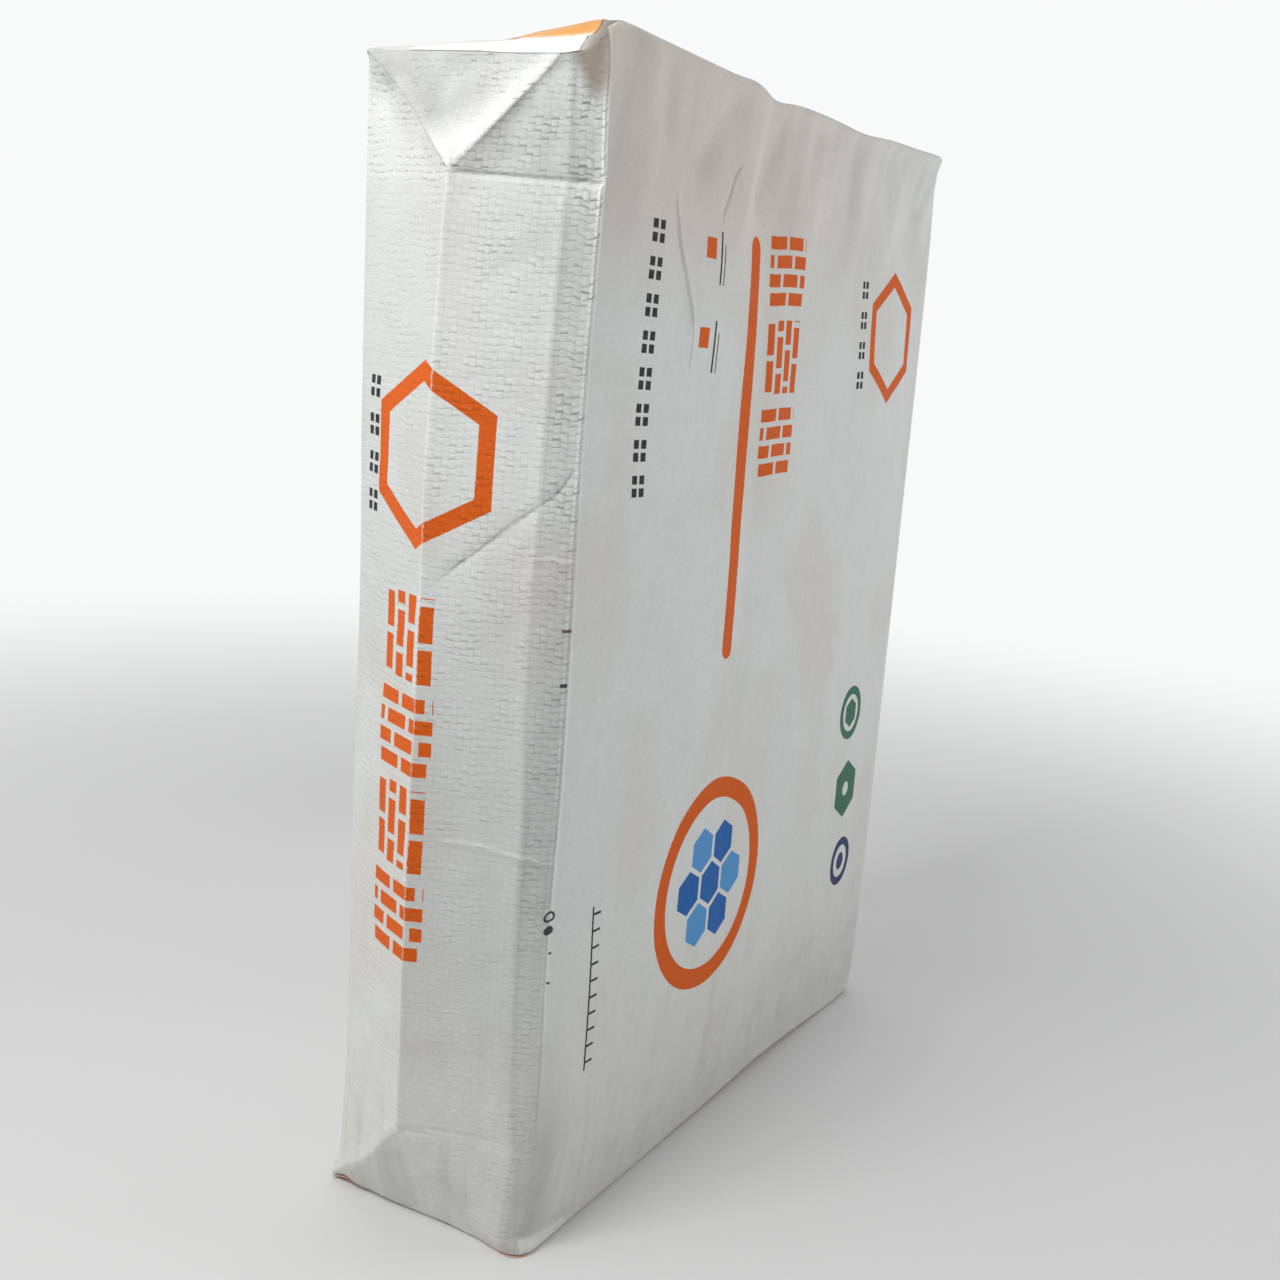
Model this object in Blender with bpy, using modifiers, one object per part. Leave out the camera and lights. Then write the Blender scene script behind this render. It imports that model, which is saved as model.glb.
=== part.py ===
"""Woven polypropylene valve bag, filled and closed, standing on its block bottom.

The bag is a tube of woven, coated tape fabric whose two ends are folded into
flat rectangular blocks and closed by printed cover patches.  A valve sleeve
lies in the upper end and comes out along its short edge.  The side creases of
the flat tube stand out as a ridge down the middle of each narrow side, and the
end folds make a triangle above and below each ridge.

Metres, +Z up.  Origin: middle of the bottom patch's underside.
+X runs along the wide face, the printed wide face looks along -Y, and the
valve is at the -X end of the top.
"""

import bmesh
import bpy
from mathutils import Matrix, Vector

# ---------------------------------------------------------------- dimensions
WIDTH = 0.357          # wide face, corner to corner, along X
DEPTH = 0.109          # block end, front to back, along Y
HEIGHT = 0.500         # lower rim to upper rim of the tube
RIDGE = 0.024          # how far each side crease stands out of the corner line
TIP = 0.051            # height of the triangular end fold on a narrow side
CROWN = 0.0065         # cage offset of the wide faces, which the filling rounds
WAIST = 0.0045         # how far the long corner edges bow in at mid height

WALL = 0.0006          # fabric with its coating, as built
GAP = 0.0003           # clearance between pieces that lie on each other
PATCH_T = 0.0006       # cover patch
PATCH_X = 0.349        # cover patch, along X
PATCH_Y = 0.103        # cover patch, along Y
PATCH_R = 0.003        # its corners

VALVE_W = 0.092        # flat width of the valve sleeve
VALVE_H = 0.0018       # the sleeve pressed flat, outside
VALVE_WALL = 0.0004
VALVE_IN = 0.110       # how far it runs into the bag from the short edge
VALVE_OUT = 0.0030     # how far its mouth stands out of the short edge

Z_LOW = PATCH_T + GAP              # underside of the tube's lower end
Z_HIGH = Z_LOW + HEIGHT            # top side of the tube's upper end
VALVE_Z1 = Z_HIGH - WALL - 0.0007  # top side of the sleeve
VALVE_Z0 = VALVE_Z1 - VALVE_H

FILL_INSET = 0.0012    # filling's skin to the tube's outer face, at the corners
FILL_TOP = VALVE_Z0 - 0.0004

# ---------------------------------------------------------------- scene set-up
for old in list(bpy.data.objects):
    bpy.data.objects.remove(old, do_unlink=True)

parts = bpy.data.collections.new("woven_valve_bag")
bpy.context.scene.collection.children.link(parts)
cutters = bpy.data.collections.new("cutters")
bpy.context.scene.collection.children.link(cutters)


def material(name, colour, roughness, metallic=0.0):
    m = bpy.data.materials.new(name)
    m.use_nodes = True
    shader = m.node_tree.nodes["Principled BSDF"]
    shader.inputs["Base Color"].default_value = (*colour, 1.0)
    shader.inputs["Roughness"].default_value = roughness
    shader.inputs["Metallic"].default_value = metallic
    m.diffuse_color = (*colour, 1.0)
    return m


WOVEN = material("woven_fabric", (0.80, 0.81, 0.79), 0.42)
PRINT = material("printed_patch", (0.86, 0.32, 0.05), 0.45)
SLEEVE = material("valve_fabric", (0.84, 0.85, 0.83), 0.40)
POWDER = material("gypsum_powder", (0.83, 0.82, 0.80), 0.95)


def add(name, bm, mat, collection=None):
    mesh = bpy.data.meshes.new(name)
    bm.normal_update()
    bm.to_mesh(mesh)
    bm.free()
    obj = bpy.data.objects.new(name, mesh)
    obj.data.materials.append(mat)
    (collection or parts).objects.link(obj)
    return obj


def bag_cage(width, depth, z0, z1, ridge, tip, crown, waist):
    """A block-ended bag as a coarse cage: a box cut at its middle and at the
    fold lines, with the side creases pulled out and the diagonals added."""
    bm = bmesh.new()
    bmesh.ops.create_cube(bm, size=1.0)
    bmesh.ops.transform(
        bm,
        matrix=Matrix.Translation((0, 0, (z0 + z1) / 2))
        @ Matrix.Diagonal((width, depth, z1 - z0, 1.0)),
        verts=bm.verts,
    )
    cuts = [
        ((0, 0, 0), (0, 1, 0)),
        ((0.31 * width, 0, 0), (1, 0, 0)),
        ((-0.31 * width, 0, 0), (1, 0, 0)),
        ((0, 0, z0 + tip), (0, 0, 1)),
        ((0, 0, (z0 + z1) / 2), (0, 0, 1)),
        ((0, 0, z1 - tip), (0, 0, 1)),
    ]
    for co, no in cuts:
        bmesh.ops.bisect_plane(
            bm,
            geom=bm.verts[:] + bm.edges[:] + bm.faces[:],
            plane_co=co,
            plane_no=no,
            dist=1e-6,
        )
    eps = 1e-5
    mid = (z0 + z1) / 2

    def on_side(v):
        return abs(abs(v.co.x) - width / 2) < eps

    def is_end(v):
        return v.co.z < z0 + eps or v.co.z > z1 - eps

    # diagonals of the triangular folds, from each block corner to the tip
    bm.faces.ensure_lookup_table()
    for f in list(bm.faces):
        if len(f.verts) != 4 or not all(on_side(v) for v in f.verts):
            continue
        corner = [v for v in f.verts if is_end(v) and abs(v.co.y) > eps]
        tips = [v for v in f.verts if not is_end(v) and abs(v.co.y) < eps]
        if len(corner) == 1 and len(tips) == 1:
            bmesh.utils.face_split(f, corner[0], tips[0])

    crease = bm.edges.layers.float.new("crease_edge")
    for e in bm.edges:
        a, b = e.verts
        flat_ends = (is_end(a) and is_end(b)) and abs(a.co.z - b.co.z) < eps
        rim = flat_ends and (
            (on_side(a) and on_side(b) and abs(a.co.x - b.co.x) < eps)
            or (abs(abs(a.co.y) - depth / 2) < eps and abs(a.co.y - b.co.y) < eps)
        )
        side = on_side(a) and on_side(b) and abs(a.co.x - b.co.x) < eps
        upright = side and abs(a.co.y - b.co.y) < eps and abs(a.co.y) > eps
        ridge_line = (
            side and abs(a.co.y) < eps and abs(b.co.y) < eps
            and not is_end(a) and not is_end(b)
        )
        diagonal = side and abs(a.co.y - b.co.y) > eps and abs(a.co.z - b.co.z) > eps
        if rim or upright or ridge_line or diagonal:
            e[crease] = 1.0

    for v in bm.verts:
        x, y, z = v.co
        s = 1.0 if x > 0 else -1.0
        if on_side(v) and abs(y) < eps and not is_end(v):
            v.co.x = s * (width / 2 + ridge)
        elif on_side(v) and abs(z - mid) < eps:
            v.co.x = s * (width / 2 - waist)
        elif not on_side(v) and abs(abs(y) - depth / 2) < eps and not is_end(v):
            k = 1.0 if abs(z - mid) < eps else 0.55
            v.co.y += (1.0 if y > 0 else -1.0) * crown * k
    return bm


def smooth_levels(obj, levels=2):
    sub = obj.modifiers.new("panels", "SUBSURF")
    sub.levels = levels
    sub.render_levels = levels
    sub.boundary_smooth = "PRESERVE_CORNERS"
    return sub


# ---------------------------------------------------------------- woven tube
tube = add(
    "woven_tube",
    bag_cage(WIDTH, DEPTH, Z_LOW, Z_HIGH, RIDGE, TIP, CROWN, WAIST),
    WOVEN,
)
smooth_levels(tube)
skin = tube.modifiers.new("fabric", "SOLIDIFY")
skin.thickness = WALL
skin.offset = -1.0
skin.use_even_offset = True

# the valve's slot, through the narrow side just under the top's short edge
bm = bmesh.new()
bmesh.ops.create_cube(bm, size=1.0)
bmesh.ops.transform(
    bm,
    matrix=Matrix.Translation(
        (-WIDTH / 2, 0, (VALVE_Z0 + VALVE_Z1) / 2)
    )
    @ Matrix.Diagonal((0.012, VALVE_W + 2 * GAP, VALVE_H + 2 * GAP, 1.0)),
    verts=bm.verts,
)
slot = add("valve_slot_cutter", bm, SLEEVE, cutters)
slot.hide_render = True
slot.display_type = "WIRE"
cut = tube.modifiers.new("valve_slot", "BOOLEAN")
cut.operation = "DIFFERENCE"
cut.solver = "EXACT"
cut.object = slot

# ---------------------------------------------------------------- filling
fill = add(
    "gypsum_fill",
    bag_cage(
        WIDTH - 2 * FILL_INSET,
        DEPTH - 2 * FILL_INSET,
        Z_LOW + WALL + GAP,
        FILL_TOP,
        RIDGE,
        TIP,
        CROWN,
        WAIST,
    ),
    POWDER,
)
smooth_levels(fill)


# ---------------------------------------------------------------- cover patches
def patch(name, z0):
    """A thin rectangle with small round corners."""
    b = bmesh.new()
    bmesh.ops.create_cube(b, size=1.0)
    bmesh.ops.transform(
        b,
        matrix=Matrix.Translation((0, 0, z0 + PATCH_T / 2))
        @ Matrix.Diagonal((PATCH_X, PATCH_Y, PATCH_T, 1.0)),
        verts=b.verts,
    )
    uprights = [
        e for e in b.edges if abs(e.verts[0].co.z - e.verts[1].co.z) > PATCH_T / 2
    ]
    bmesh.ops.bevel(
        b, geom=uprights, offset=PATCH_R, offset_type="OFFSET", segments=3,
        profile=0.5, affect="EDGES",
    )
    return add(name, b, PRINT)


patch("bottom_cover_patch", 0.0)
patch("top_cover_patch", Z_HIGH + GAP)

# ---------------------------------------------------------------- valve sleeve
# A flat tube, open at both ends: four walls, with Solidify inwards.
bm = bmesh.new()
bmesh.ops.create_cube(bm, size=1.0)
x0, x1 = -WIDTH / 2 - VALVE_OUT, -WIDTH / 2 + VALVE_IN
bmesh.ops.transform(
    bm,
    matrix=Matrix.Translation(((x0 + x1) / 2, 0, (VALVE_Z0 + VALVE_Z1) / 2))
    @ Matrix.Diagonal((x1 - x0, VALVE_W, VALVE_H, 1.0)),
    verts=bm.verts,
)
bm.faces.ensure_lookup_table()
bm.normal_update()
ends = [f for f in bm.faces if abs(f.normal.x) > 0.9]
bmesh.ops.delete(bm, geom=ends, context="FACES")
sleeve = add("valve_sleeve", bm, SLEEVE)
walls = sleeve.modifiers.new("walls", "SOLIDIFY")
walls.thickness = VALVE_WALL
walls.offset = -1.0
walls.use_even_offset = True
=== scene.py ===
"""Looks of the woven polypropylene valve bag: its creased fabric skin, the two
printed cover patches and the valve sleeve, with a pale floor, soft light and
the camera.

Lengths in the shape functions are millimetres in the block's own corner frame:
x runs along the wide printed face from the left corner edge, y runs into the
bag from that face, z is up.  They are turned into metres of the shared frame
at the end.  Fabric coordinates (u, v) are the unrolled tube: u runs round it,
v up it.
"""
import math

import bpy
import numpy as np
from mathutils import Matrix, Vector
from mathutils.geometry import delaunay_2d_cdt


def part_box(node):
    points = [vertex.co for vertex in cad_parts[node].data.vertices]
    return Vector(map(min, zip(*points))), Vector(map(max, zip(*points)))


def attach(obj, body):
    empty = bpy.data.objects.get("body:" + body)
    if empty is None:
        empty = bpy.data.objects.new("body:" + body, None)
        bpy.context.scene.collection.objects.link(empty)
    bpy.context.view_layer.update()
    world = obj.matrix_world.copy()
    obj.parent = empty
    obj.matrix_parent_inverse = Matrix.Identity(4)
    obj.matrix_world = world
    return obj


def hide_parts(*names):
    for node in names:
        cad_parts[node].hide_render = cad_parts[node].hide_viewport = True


WALL_DIM, WALL_BRIGHT = 0.34, 0.88
BACKDROP = (0.945, 0.95, 0.955)

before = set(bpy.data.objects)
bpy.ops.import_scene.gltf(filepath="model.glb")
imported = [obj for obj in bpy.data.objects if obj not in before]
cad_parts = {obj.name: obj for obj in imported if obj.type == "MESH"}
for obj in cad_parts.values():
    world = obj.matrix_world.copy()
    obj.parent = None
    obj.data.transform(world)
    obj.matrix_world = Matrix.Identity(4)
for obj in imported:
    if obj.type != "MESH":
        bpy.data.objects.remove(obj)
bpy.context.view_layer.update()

scene = bpy.context.scene
scene.unit_settings.system = "METRIC"

# ------------------------------------------------------------------ block size
W, D, H = 357.5, 109.0, 500.0          # along x, y and z, corner to corner
OX, OY, OZ = 178.74, 54.49, 0.9        # the shared frame's origin in this frame
GUSSET = 121.0                         # flat width of a narrow side
HALF = GUSSET / 2
U_BL, U_RIDGE, U_FL, U_FR = -GUSSET, -HALF, 0.0, W
U_BR = W + GUSSET
U_END = U_BR + W
TIP_TOP, TIP_BOT = 46.2, 50.9          # heights of the triangular end folds
NEAR_END = 39.5                        # where the upper near fold meets the rim, from the ridge
SEAM = 13.0                            # lap seam's edge, from the near corner

box_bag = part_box("woven_tube")
box_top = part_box("top_cover_patch")
box_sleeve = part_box("valve_sleeve")


def to_frame(p):
    """Millimetres of the corner frame to metres of the shared frame."""
    p = np.asarray(p, float)
    return (p - np.array([OX, OY, -OZ])) / 1000.0


# ------------------------------------------------------------------ small maths
def curve(xs, ys, x):
    """A smooth line through a few stations."""
    xs, ys = np.asarray(xs, float), np.asarray(ys, float)
    m = np.gradient(ys, xs)
    x = np.clip(np.asarray(x, float), xs[0], xs[-1])
    i = np.clip(np.searchsorted(xs, x) - 1, 0, len(xs) - 2)
    h = xs[i + 1] - xs[i]
    t = (x - xs[i]) / h
    return (
        ys[i] * (2 * t**3 - 3 * t**2 + 1)
        + m[i] * h * (t**3 - 2 * t**2 + t)
        + ys[i + 1] * (3 * t**2 - 2 * t**3)
        + m[i + 1] * h * (t**3 - t**2)
    )


def step(x):
    x = np.clip(x, 0.0, 1.0)
    return x * x * (3 - 2 * x)


def soft_abs(x, r):
    """|x| with its point rounded over a distance r."""
    a = np.abs(x)
    return np.where(a < r, (a * a + r * r) / (2 * r), a)


def soft_min(a, b, r):
    return (a + b - soft_abs(a - b, r)) / 2


TABLES = {}


def noise(x, y, seed):
    """Smooth values from -1 to 1 on a unit lattice, the same at each run."""
    if seed not in TABLES:
        TABLES[seed] = np.random.default_rng(seed).uniform(-1, 1, (128, 128))
    tab = TABLES[seed]
    x, y = np.broadcast_arrays(np.asarray(x, float), np.asarray(y, float))
    xi, yi = np.floor(x).astype(int), np.floor(y).astype(int)
    fx, fy = x - xi, y - yi
    fx = fx**3 * (fx * (fx * 6 - 15) + 10)
    fy = fy**3 * (fy * (fy * 6 - 15) + 10)
    a = tab[yi % 128, xi % 128]
    b = tab[yi % 128, (xi + 1) % 128]
    c = tab[(yi + 1) % 128, xi % 128]
    d = tab[(yi + 1) % 128, (xi + 1) % 128]
    return (a * (1 - fx) + b * fx) * (1 - fy) + (c * (1 - fx) + d * fx) * fy


def to_line(u, v, pts):
    """Distance to a polyline, its sign (left of its run is +) and 0..1 along it."""
    pts = np.asarray(pts, float)
    best = np.full(np.shape(u), 1e9)
    sign = np.ones(np.shape(u))
    along = np.zeros(np.shape(u))
    seg = pts[1:] - pts[:-1]
    ln = np.hypot(seg[:, 0], seg[:, 1])
    total, run = ln.sum(), 0.0
    for (ax, ay), (dx, dy), l in zip(pts[:-1], seg, ln):
        t = np.clip(((u - ax) * dx + (v - ay) * dy) / (l * l), 0, 1)
        ex, ey = u - (ax + t * dx), v - (ay + t * dy)
        d = np.hypot(ex, ey)
        near = d < best
        best = np.where(near, d, best)
        sign = np.where(near, np.where(dx * ey - dy * ex >= 0, 1.0, -1.0), sign)
        along = np.where(near, (run + t * l) / total, along)
        run += l
    return best, sign, along


def groove(u, v, pts, depth, left, right, ends=0.15, r=0.35):
    """A fold line: a V of that depth, reaching out left and right of its run."""
    d, s, t = to_line(u, v, pts)
    w = np.where(s > 0, left, right)
    taper = step(t / ends) * step((1 - t) / ends) if ends else 1.0
    k = np.clip(1 - soft_abs(d, r) / w, 0, 1)
    return -depth * k * k * (1.5 - 0.5 * k) * taper


# ------------------------------------------------------------------ the block's edges
def edge_fl(t):
    """Near upright edge, bottom to top."""
    v = 500 * t
    e = curve(
        [0, 6, 26, 50, 71, 144, 212, 279, 343, 404, 448, 477, 489, 496, 500],
        [-5, -4.2, 0.7, 4.4, 5.0, 4.7, 6.6, 6.6, 6.0, 8.0, 9.5, 8.9, 8.7, 7.2, 5.0], v)
    foot = np.clip(1 - v / 14, 0, 1) ** 2
    return np.stack([0.42 * e - 1.7 * foot, -0.386 * e - 0.9 * foot, t * 503.6 - 0.4], -1)


def edge_bl(t):
    v = 500 * t
    e = curve(
        [0, 14, 34, 54, 73, 93, 132, 208, 280, 314, 348, 381, 446, 477, 500],
        [1.5, 4.0, 5.4, 6.6, 7.0, 6.7, 5.5, 4.6, 4.2, 3.0, 1.3, 0.3, -1.2, -1.7, -2.6], v)
    return np.stack([e, 109 + 0.12 * e, t * 496.6 - 0.2], -1)


def edge_fr(t):
    v = 500 * t
    e = curve(
        [0, 10, 32, 58, 109, 210, 300, 400, 444, 466, 477, 488, 495, 500],
        [-4, -3.6, -4.2, -3.9, -2.6, -2.2, -1.1, -0.2, -0.8, -2.9, -4.8, -1.8, 2.2, 5.4], v)
    return np.stack([W + e, -0.2 * np.abs(e), 0.6 + t * (501.3 - 0.6)], -1)


def edge_br(t):
    v = 500 * t
    e = curve([0, 40, 90, 180, 300, 420, 470, 500], [-5, -4, -3, -3.6, -2, -3, -2, 0], v)
    return np.stack([W + e, 109 - 0.4 * e - 1, 0.8 + t * (497.5 - 0.8)], -1)


def rim_tf(s):
    """Upper front rim, left to right."""
    x = s * W
    z = curve(
        [0, 8, 16, 25, 34, 62, 82, 103, 127, 138, 151, 163, 189, 217, 232, 248, 263, 279,
         314, 350, 357.5],
        [503.2, 505.4, 505.9, 505.7, 505.3, 504.6, 504.0, 503.4, 503.1, 500.9, 499.3, 500.2,
         500.6, 499.8, 499.1, 498.8, 499.6, 500.4, 500.9, 501.5, 501.3], x)
    a, b = edge_fl(np.array(1.0)), edge_fr(np.array(1.0))
    p = a + s[..., None] * (b - a)
    p[..., 2] = z
    p[..., 1] += 1.1 * np.sin(np.pi * s) * np.sin(3.1 * s + 0.4)
    p[..., 1] += 1.8 * np.exp(-(((x - 146) / 9.0) ** 2))
    return p


def rim_tb(s):
    x = s * W
    z = curve([0, 30, 80, 150, 210, 280, 330, 357.5],
              [496.4, 498.5, 499.6, 498.3, 500.2, 499.4, 498.2, 497.5], x)
    a, b = edge_bl(np.array(1.0)), edge_br(np.array(1.0))
    p = a + s[..., None] * (b - a)
    p[..., 2] = z
    p[..., 1] += 1.5 * np.sin(np.pi * s) * np.sin(4.0 * s + 2.0)
    return p


def rim_tl(s):
    """Upper left short rim, back to front."""
    y = 109 - s * 109
    z = curve([0, 2.5, 5, 8, 14, 26, 45, 64, 84, 104, 109],
              [503.2, 500.0, 496.2, 494.1, 493.6, 493.8, 494.2, 494.8, 495.3, 495.8, 496.4], y)
    a, b = edge_bl(np.array(1.0)), edge_fl(np.array(1.0))
    p = a + s[..., None] * (b - a)
    p[..., 2] = z
    p[..., 0] += 0.5 * np.sin(np.pi * s)
    return p


def rim_tr(s):
    """Upper right short rim, front to back."""
    y = s * 109
    z = curve([0, 6, 14, 40, 70, 98, 109],
              [501.3, 498.4, 496.2, 495.2, 495.6, 496.2, 497.5], y)
    a, b = edge_fr(np.array(1.0)), edge_br(np.array(1.0))
    p = a + s[..., None] * (b - a)
    p[..., 2] = z
    return p


def rim_bf(s):
    x = s * W
    z = curve([0, 20, 60, 97, 136, 168, 197, 226, 258, 287, 327, 343, 357.5],
              [-0.4, -0.4, -0.4, -0.3, 0.1, 0.7, 1.8, 2.9, 2.3, 1.3, -0.1, 0.3, 0.6], x)
    a, b = edge_fl(np.array(0.0)), edge_fr(np.array(0.0))
    p = a + s[..., None] * (b - a)
    p[..., 2] = z
    p[..., 1] = curve([0, 6, 14, 27, 44, 70, 110, 160, 230, 290, 357.5],
                      [a[1], -0.6, -0.9, -0.9, -0.9, -0.6, -0.2, 0.2, 0.4, 0.2, b[1]], x)
    return p


def rim_bb(s):
    x = s * W
    z = curve([0, 60, 130, 200, 290, 357.5], [0.3, 0.3, 2.1, 2.6, 1.0, 0.8], x)
    a, b = edge_bl(np.array(0.0)), edge_br(np.array(0.0))
    p = a + s[..., None] * (b - a)
    p[..., 2] = z
    p[..., 1] -= 1.2 * np.sin(np.pi * s)
    return p


def rim_bl(s):
    """Lower left short rim, back to front."""
    a, b = edge_bl(np.array(0.0)), edge_fl(np.array(0.0))
    p = a + s[..., None] * (b - a)
    y = p[..., 1]
    p[..., 0] = curve([a[1] * 0 + b[1], 8, 15, 22, 29, 40, 56, 70, 84, 93, 100, a[1]],
                      [b[0], -4.6, -3.7, -2.3, -1.9, -1.3, -1.9, -2.3, -2.2, -3.4, -2.0, a[0]], y)
    # the back end of this rim stands a little clear of the floor
    p[..., 2] = -0.35 + 2.6 * np.exp(-(((y - 98) / 9.0) ** 2)) * step((109 - y) / 8)
    return p


def rim_br(s):
    a, b = edge_fr(np.array(0.0)), edge_br(np.array(0.0))
    p = a + s[..., None] * (b - a)
    p[..., 0] -= 1.0 * np.sin(np.pi * s)
    return p


def coons(s, t, left, right, bottom, top):
    s, t = np.asarray(s, float), np.asarray(t, float)
    one, nil = np.ones(1), np.zeros(1)
    c00, c10 = bottom(nil)[0], bottom(one)[0]
    c01, c11 = top(nil)[0], top(one)[0]
    S, T = s[..., None], t[..., None]
    return (
        (1 - S) * left(t) + S * right(t) + (1 - T) * bottom(s) + T * top(s)
        - ((1 - S) * (1 - T) * c00 + S * (1 - T) * c10
           + (1 - S) * T * c01 + S * T * c11)
    )


# ------------------------------------------------------------------ narrow sides
def roof(u_mid, u, v, ridge, tops):
    """Height of the tented narrow side: a ridge, with a triangle at each end."""
    d = soft_abs(u - u_mid, 1.3)
    side = ridge * (1 - d / HALF)
    top = tops[1] * (H - v) / TIP_TOP
    bot = tops[0] * v / TIP_BOT
    return soft_min(soft_min(side, top, 0.55), bot, 0.9)


def soft_max(a, b, r):
    return (a + b + soft_abs(a - b, r)) / 2


def roof_left(u, v, ridge, tops):
    """The same on the seen narrow side.  Its upper near fold ends at the lap
    seam, and its lower near fold is slack and round."""
    d = soft_abs(u - U_RIDGE, 1.3)
    up = np.clip(H - v, 0.0, None)
    k = np.clip(up / TIP_TOP, 0.0, 1.0)
    fold = np.where(u > U_RIDGE, NEAR_END * (1 - k), 0.0)
    lower = np.where(u > U_RIDGE, k, 1.0)
    side = ridge * lower * (HALF - d) / (HALF - fold)
    top = ridge * np.maximum(up / TIP_TOP, 0.0) ** (1.0 - 0.16 * step((U_RIDGE - u) / 22))
    bot = tops[0] * (np.maximum(v, 0.0) / TIP_BOT) ** (1.0 - 0.20 * step((U_RIDGE - u) / 22))
    slack = 0.9 + 7.0 * step((u - U_RIDGE - 3) / 26)
    return soft_min(soft_min(side, top, 0.30), bot, slack)


def fold_line(f, d, bow):
    """A bowed end fold: 1 at the ridge to 0 at the corner, f along it."""
    return (1 - f) ** (1.0 / (1.0 - bow * step(d / 22)))


def tri_in(u, v):
    """Distance into the upper triangle from its two folds, + inside."""
    up = H - v
    out = []
    for reach, sgn, bow in ((NEAR_END, 1.0, 0.0), (HALF, -1.0, 0.16)):
        d = sgn * (u - U_RIDGE)
        line = TIP_TOP * fold_line(np.clip(d / reach, 0, 1), d, bow) - TIP_TOP * np.clip(d / reach - 1, 0, None)
        line = line + TIP_TOP * np.clip(-d / reach, 0, None)
        out.append((line - up) * reach / math.hypot(reach, TIP_TOP))
    return np.minimum(out[0], out[1])


def pos_left(u, v):
    s, t = (u - U_BL) / GUSSET, v / H
    p = coons(s, t, edge_bl, edge_fl, rim_bl, rim_tl)
    mid = coons(np.full_like(s, 0.5), t, edge_bl, edge_fl, rim_bl, rim_tl)[..., 0]
    line = curve(
        [0, 51, 69, 106, 200, 278, 310, 388, 418, 433, 449, 500],
        [-24.0, -24.0, -23.2, -24.0, -24.1, -23.9, -23.5, -21.9, -21.0, -20.6, -18.6, -18.6], v)
    h = roof_left(u, v, mid - line, (26.0, 22.4))
    near, far = -u, u - U_BL                     # to the near and the back edge
    up, low = H - v, v
    body = step((v - 40) / 30) * step((452 - v) / 14)
    # the lap seam stiffens the fabric, which bends along the seam's edge
    bend = np.minimum(near / SEAM, (HALF - near) / (HALF - SEAM))
    h = h + 1.25 * np.clip(bend, 0, 1) * body
    h = h + 0.9 * np.clip(np.minimum(far / 9, (HALF - far) / (HALF - 9)), 0, 1) * body
    # each half swells a little between its folds
    half = np.where(u > U_RIDGE, near, far)
    across = np.clip(half / HALF, 0, 1)
    h = h + 0.7 * np.sin(np.pi * across) ** 2 * body
    # fold lines level with the tips, on the near half
    front = step((u - U_RIDGE) / 3.0)
    h = h + front * groove(u, v, TIP_CREASE, 0.95, 26, 6, 0)
    h = h + front * groove(u, v, TIP_CREASE, 0.45, 0.7, 0.7, 0)
    h = h + step((SEAM - 0.5 - near) / 1.0) * groove(u, v, TIP_CREASE, 1.2, 7.5, 3.0, 0)
    h = h + front * groove(
        u, v, LOW_CREASE, 0.95, 3.0, 3.4, 0)
    back = step((U_RIDGE - u) / 4.0)
    h = h + back * groove(u, v, [(-60, 448), (-121, 449)], 0.35, 6, 6, 0)
    h = h + back * groove(u, v, [(-60, 51), (-121, 52)], 0.25, 5, 5, 0)
    # creases pressed into the near half
    for pts, dep, lft, rgt, ends in CREASES_LEFT:
        h = h + groove(u, v, pts, dep, lft, rgt, ends)
    h = h + groove(u, v, CREASES_LEFT[0][0], 0.30, 0.9, 0.9, 0.1)
    h = h + groove(u, v, LOW_CREST, -0.38, 2.2, 3.4, 0.12)
    inside = step(near / 4) * step(far / 4) * step(up / 4) * step(low / 4)
    # towards the floor the stiff seam carries the corner and the strip turns to the front
    foot = step((78 - v) / 50) * step(v / 5)
    h = h + 2.3 * foot * np.clip(np.minimum(near / 9.4, (34 - near) / 24.6), 0, 1)
    # the filling's lumps, and wrinkles across the fabric
    q_tri = tri_in(u, v)
    tri_t = step(q_tri / 4)
    h = h + inside * (
        0.75 * noise(u / 34, v / 42, 3)
        + 0.28 * noise(u / 15 + 5, v / 11, 4)
    )
    nearhalf = step((u - U_RIDGE) / 4)
    wave = noise(u / 17 + 0.12 * v / 10, v / 3.4, 8) + 0.6 * noise(u / 9, v / 2.6 + 7, 9)
    amp = 0.016 + 0.034 * nearhalf * np.clip(noise(u / 26 + 3, v / 38, 10) + 0.75, 0, 1.4)
    amp = amp * np.where(v < 260, 0.35 + 0.65 * step((v - 90) / 170), 1.0)
    h = h + inside * amp * wave * (1 - 0.5 * tri_t)
    # pressed crest along the ridge
    crest = step((v - TIP_BOT + 2) / 6) * step((H - TIP_TOP + 2 - v) / 6)
    h = h + 0.30 * np.exp(-(((u - U_RIDGE) / 1.1) ** 2)) * crest
    # the lap seam's upper layer ends in a step; a welded lip runs along it
    sd = near - seam_line(v)
    lap = 0.42 * step((sd + 0.22) / 0.44) * step((HALF - near) / 20)
    lip = 0.22 * np.exp(-(((sd - 1.6) / 1.3) ** 2))
    h = h + (lap + lip) * step(v / 8) * step((H - v) / 3)
    # dented strip under the upper front corner
    hollow = np.exp(-(((near - 6.2) / 5.6) ** 2) - (((v - 486.5) / 10.5) ** 2))
    h = h - 2.2 * hollow * step(near / 3.5) * step(up / 4)
    # the near edge is pinched up beside the folded corner
    pinch = step((v - 418) / 26) * step((497 - v) / 10)
    h = h + 0.22 * np.exp(-(((near - 1.5) / 1.1) ** 2)) * pinch
    h = h - 0.9 * np.exp(-(((near - 7) / 5.0) ** 2) - (((v - 461) / 9.0) ** 2)) * inside
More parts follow.
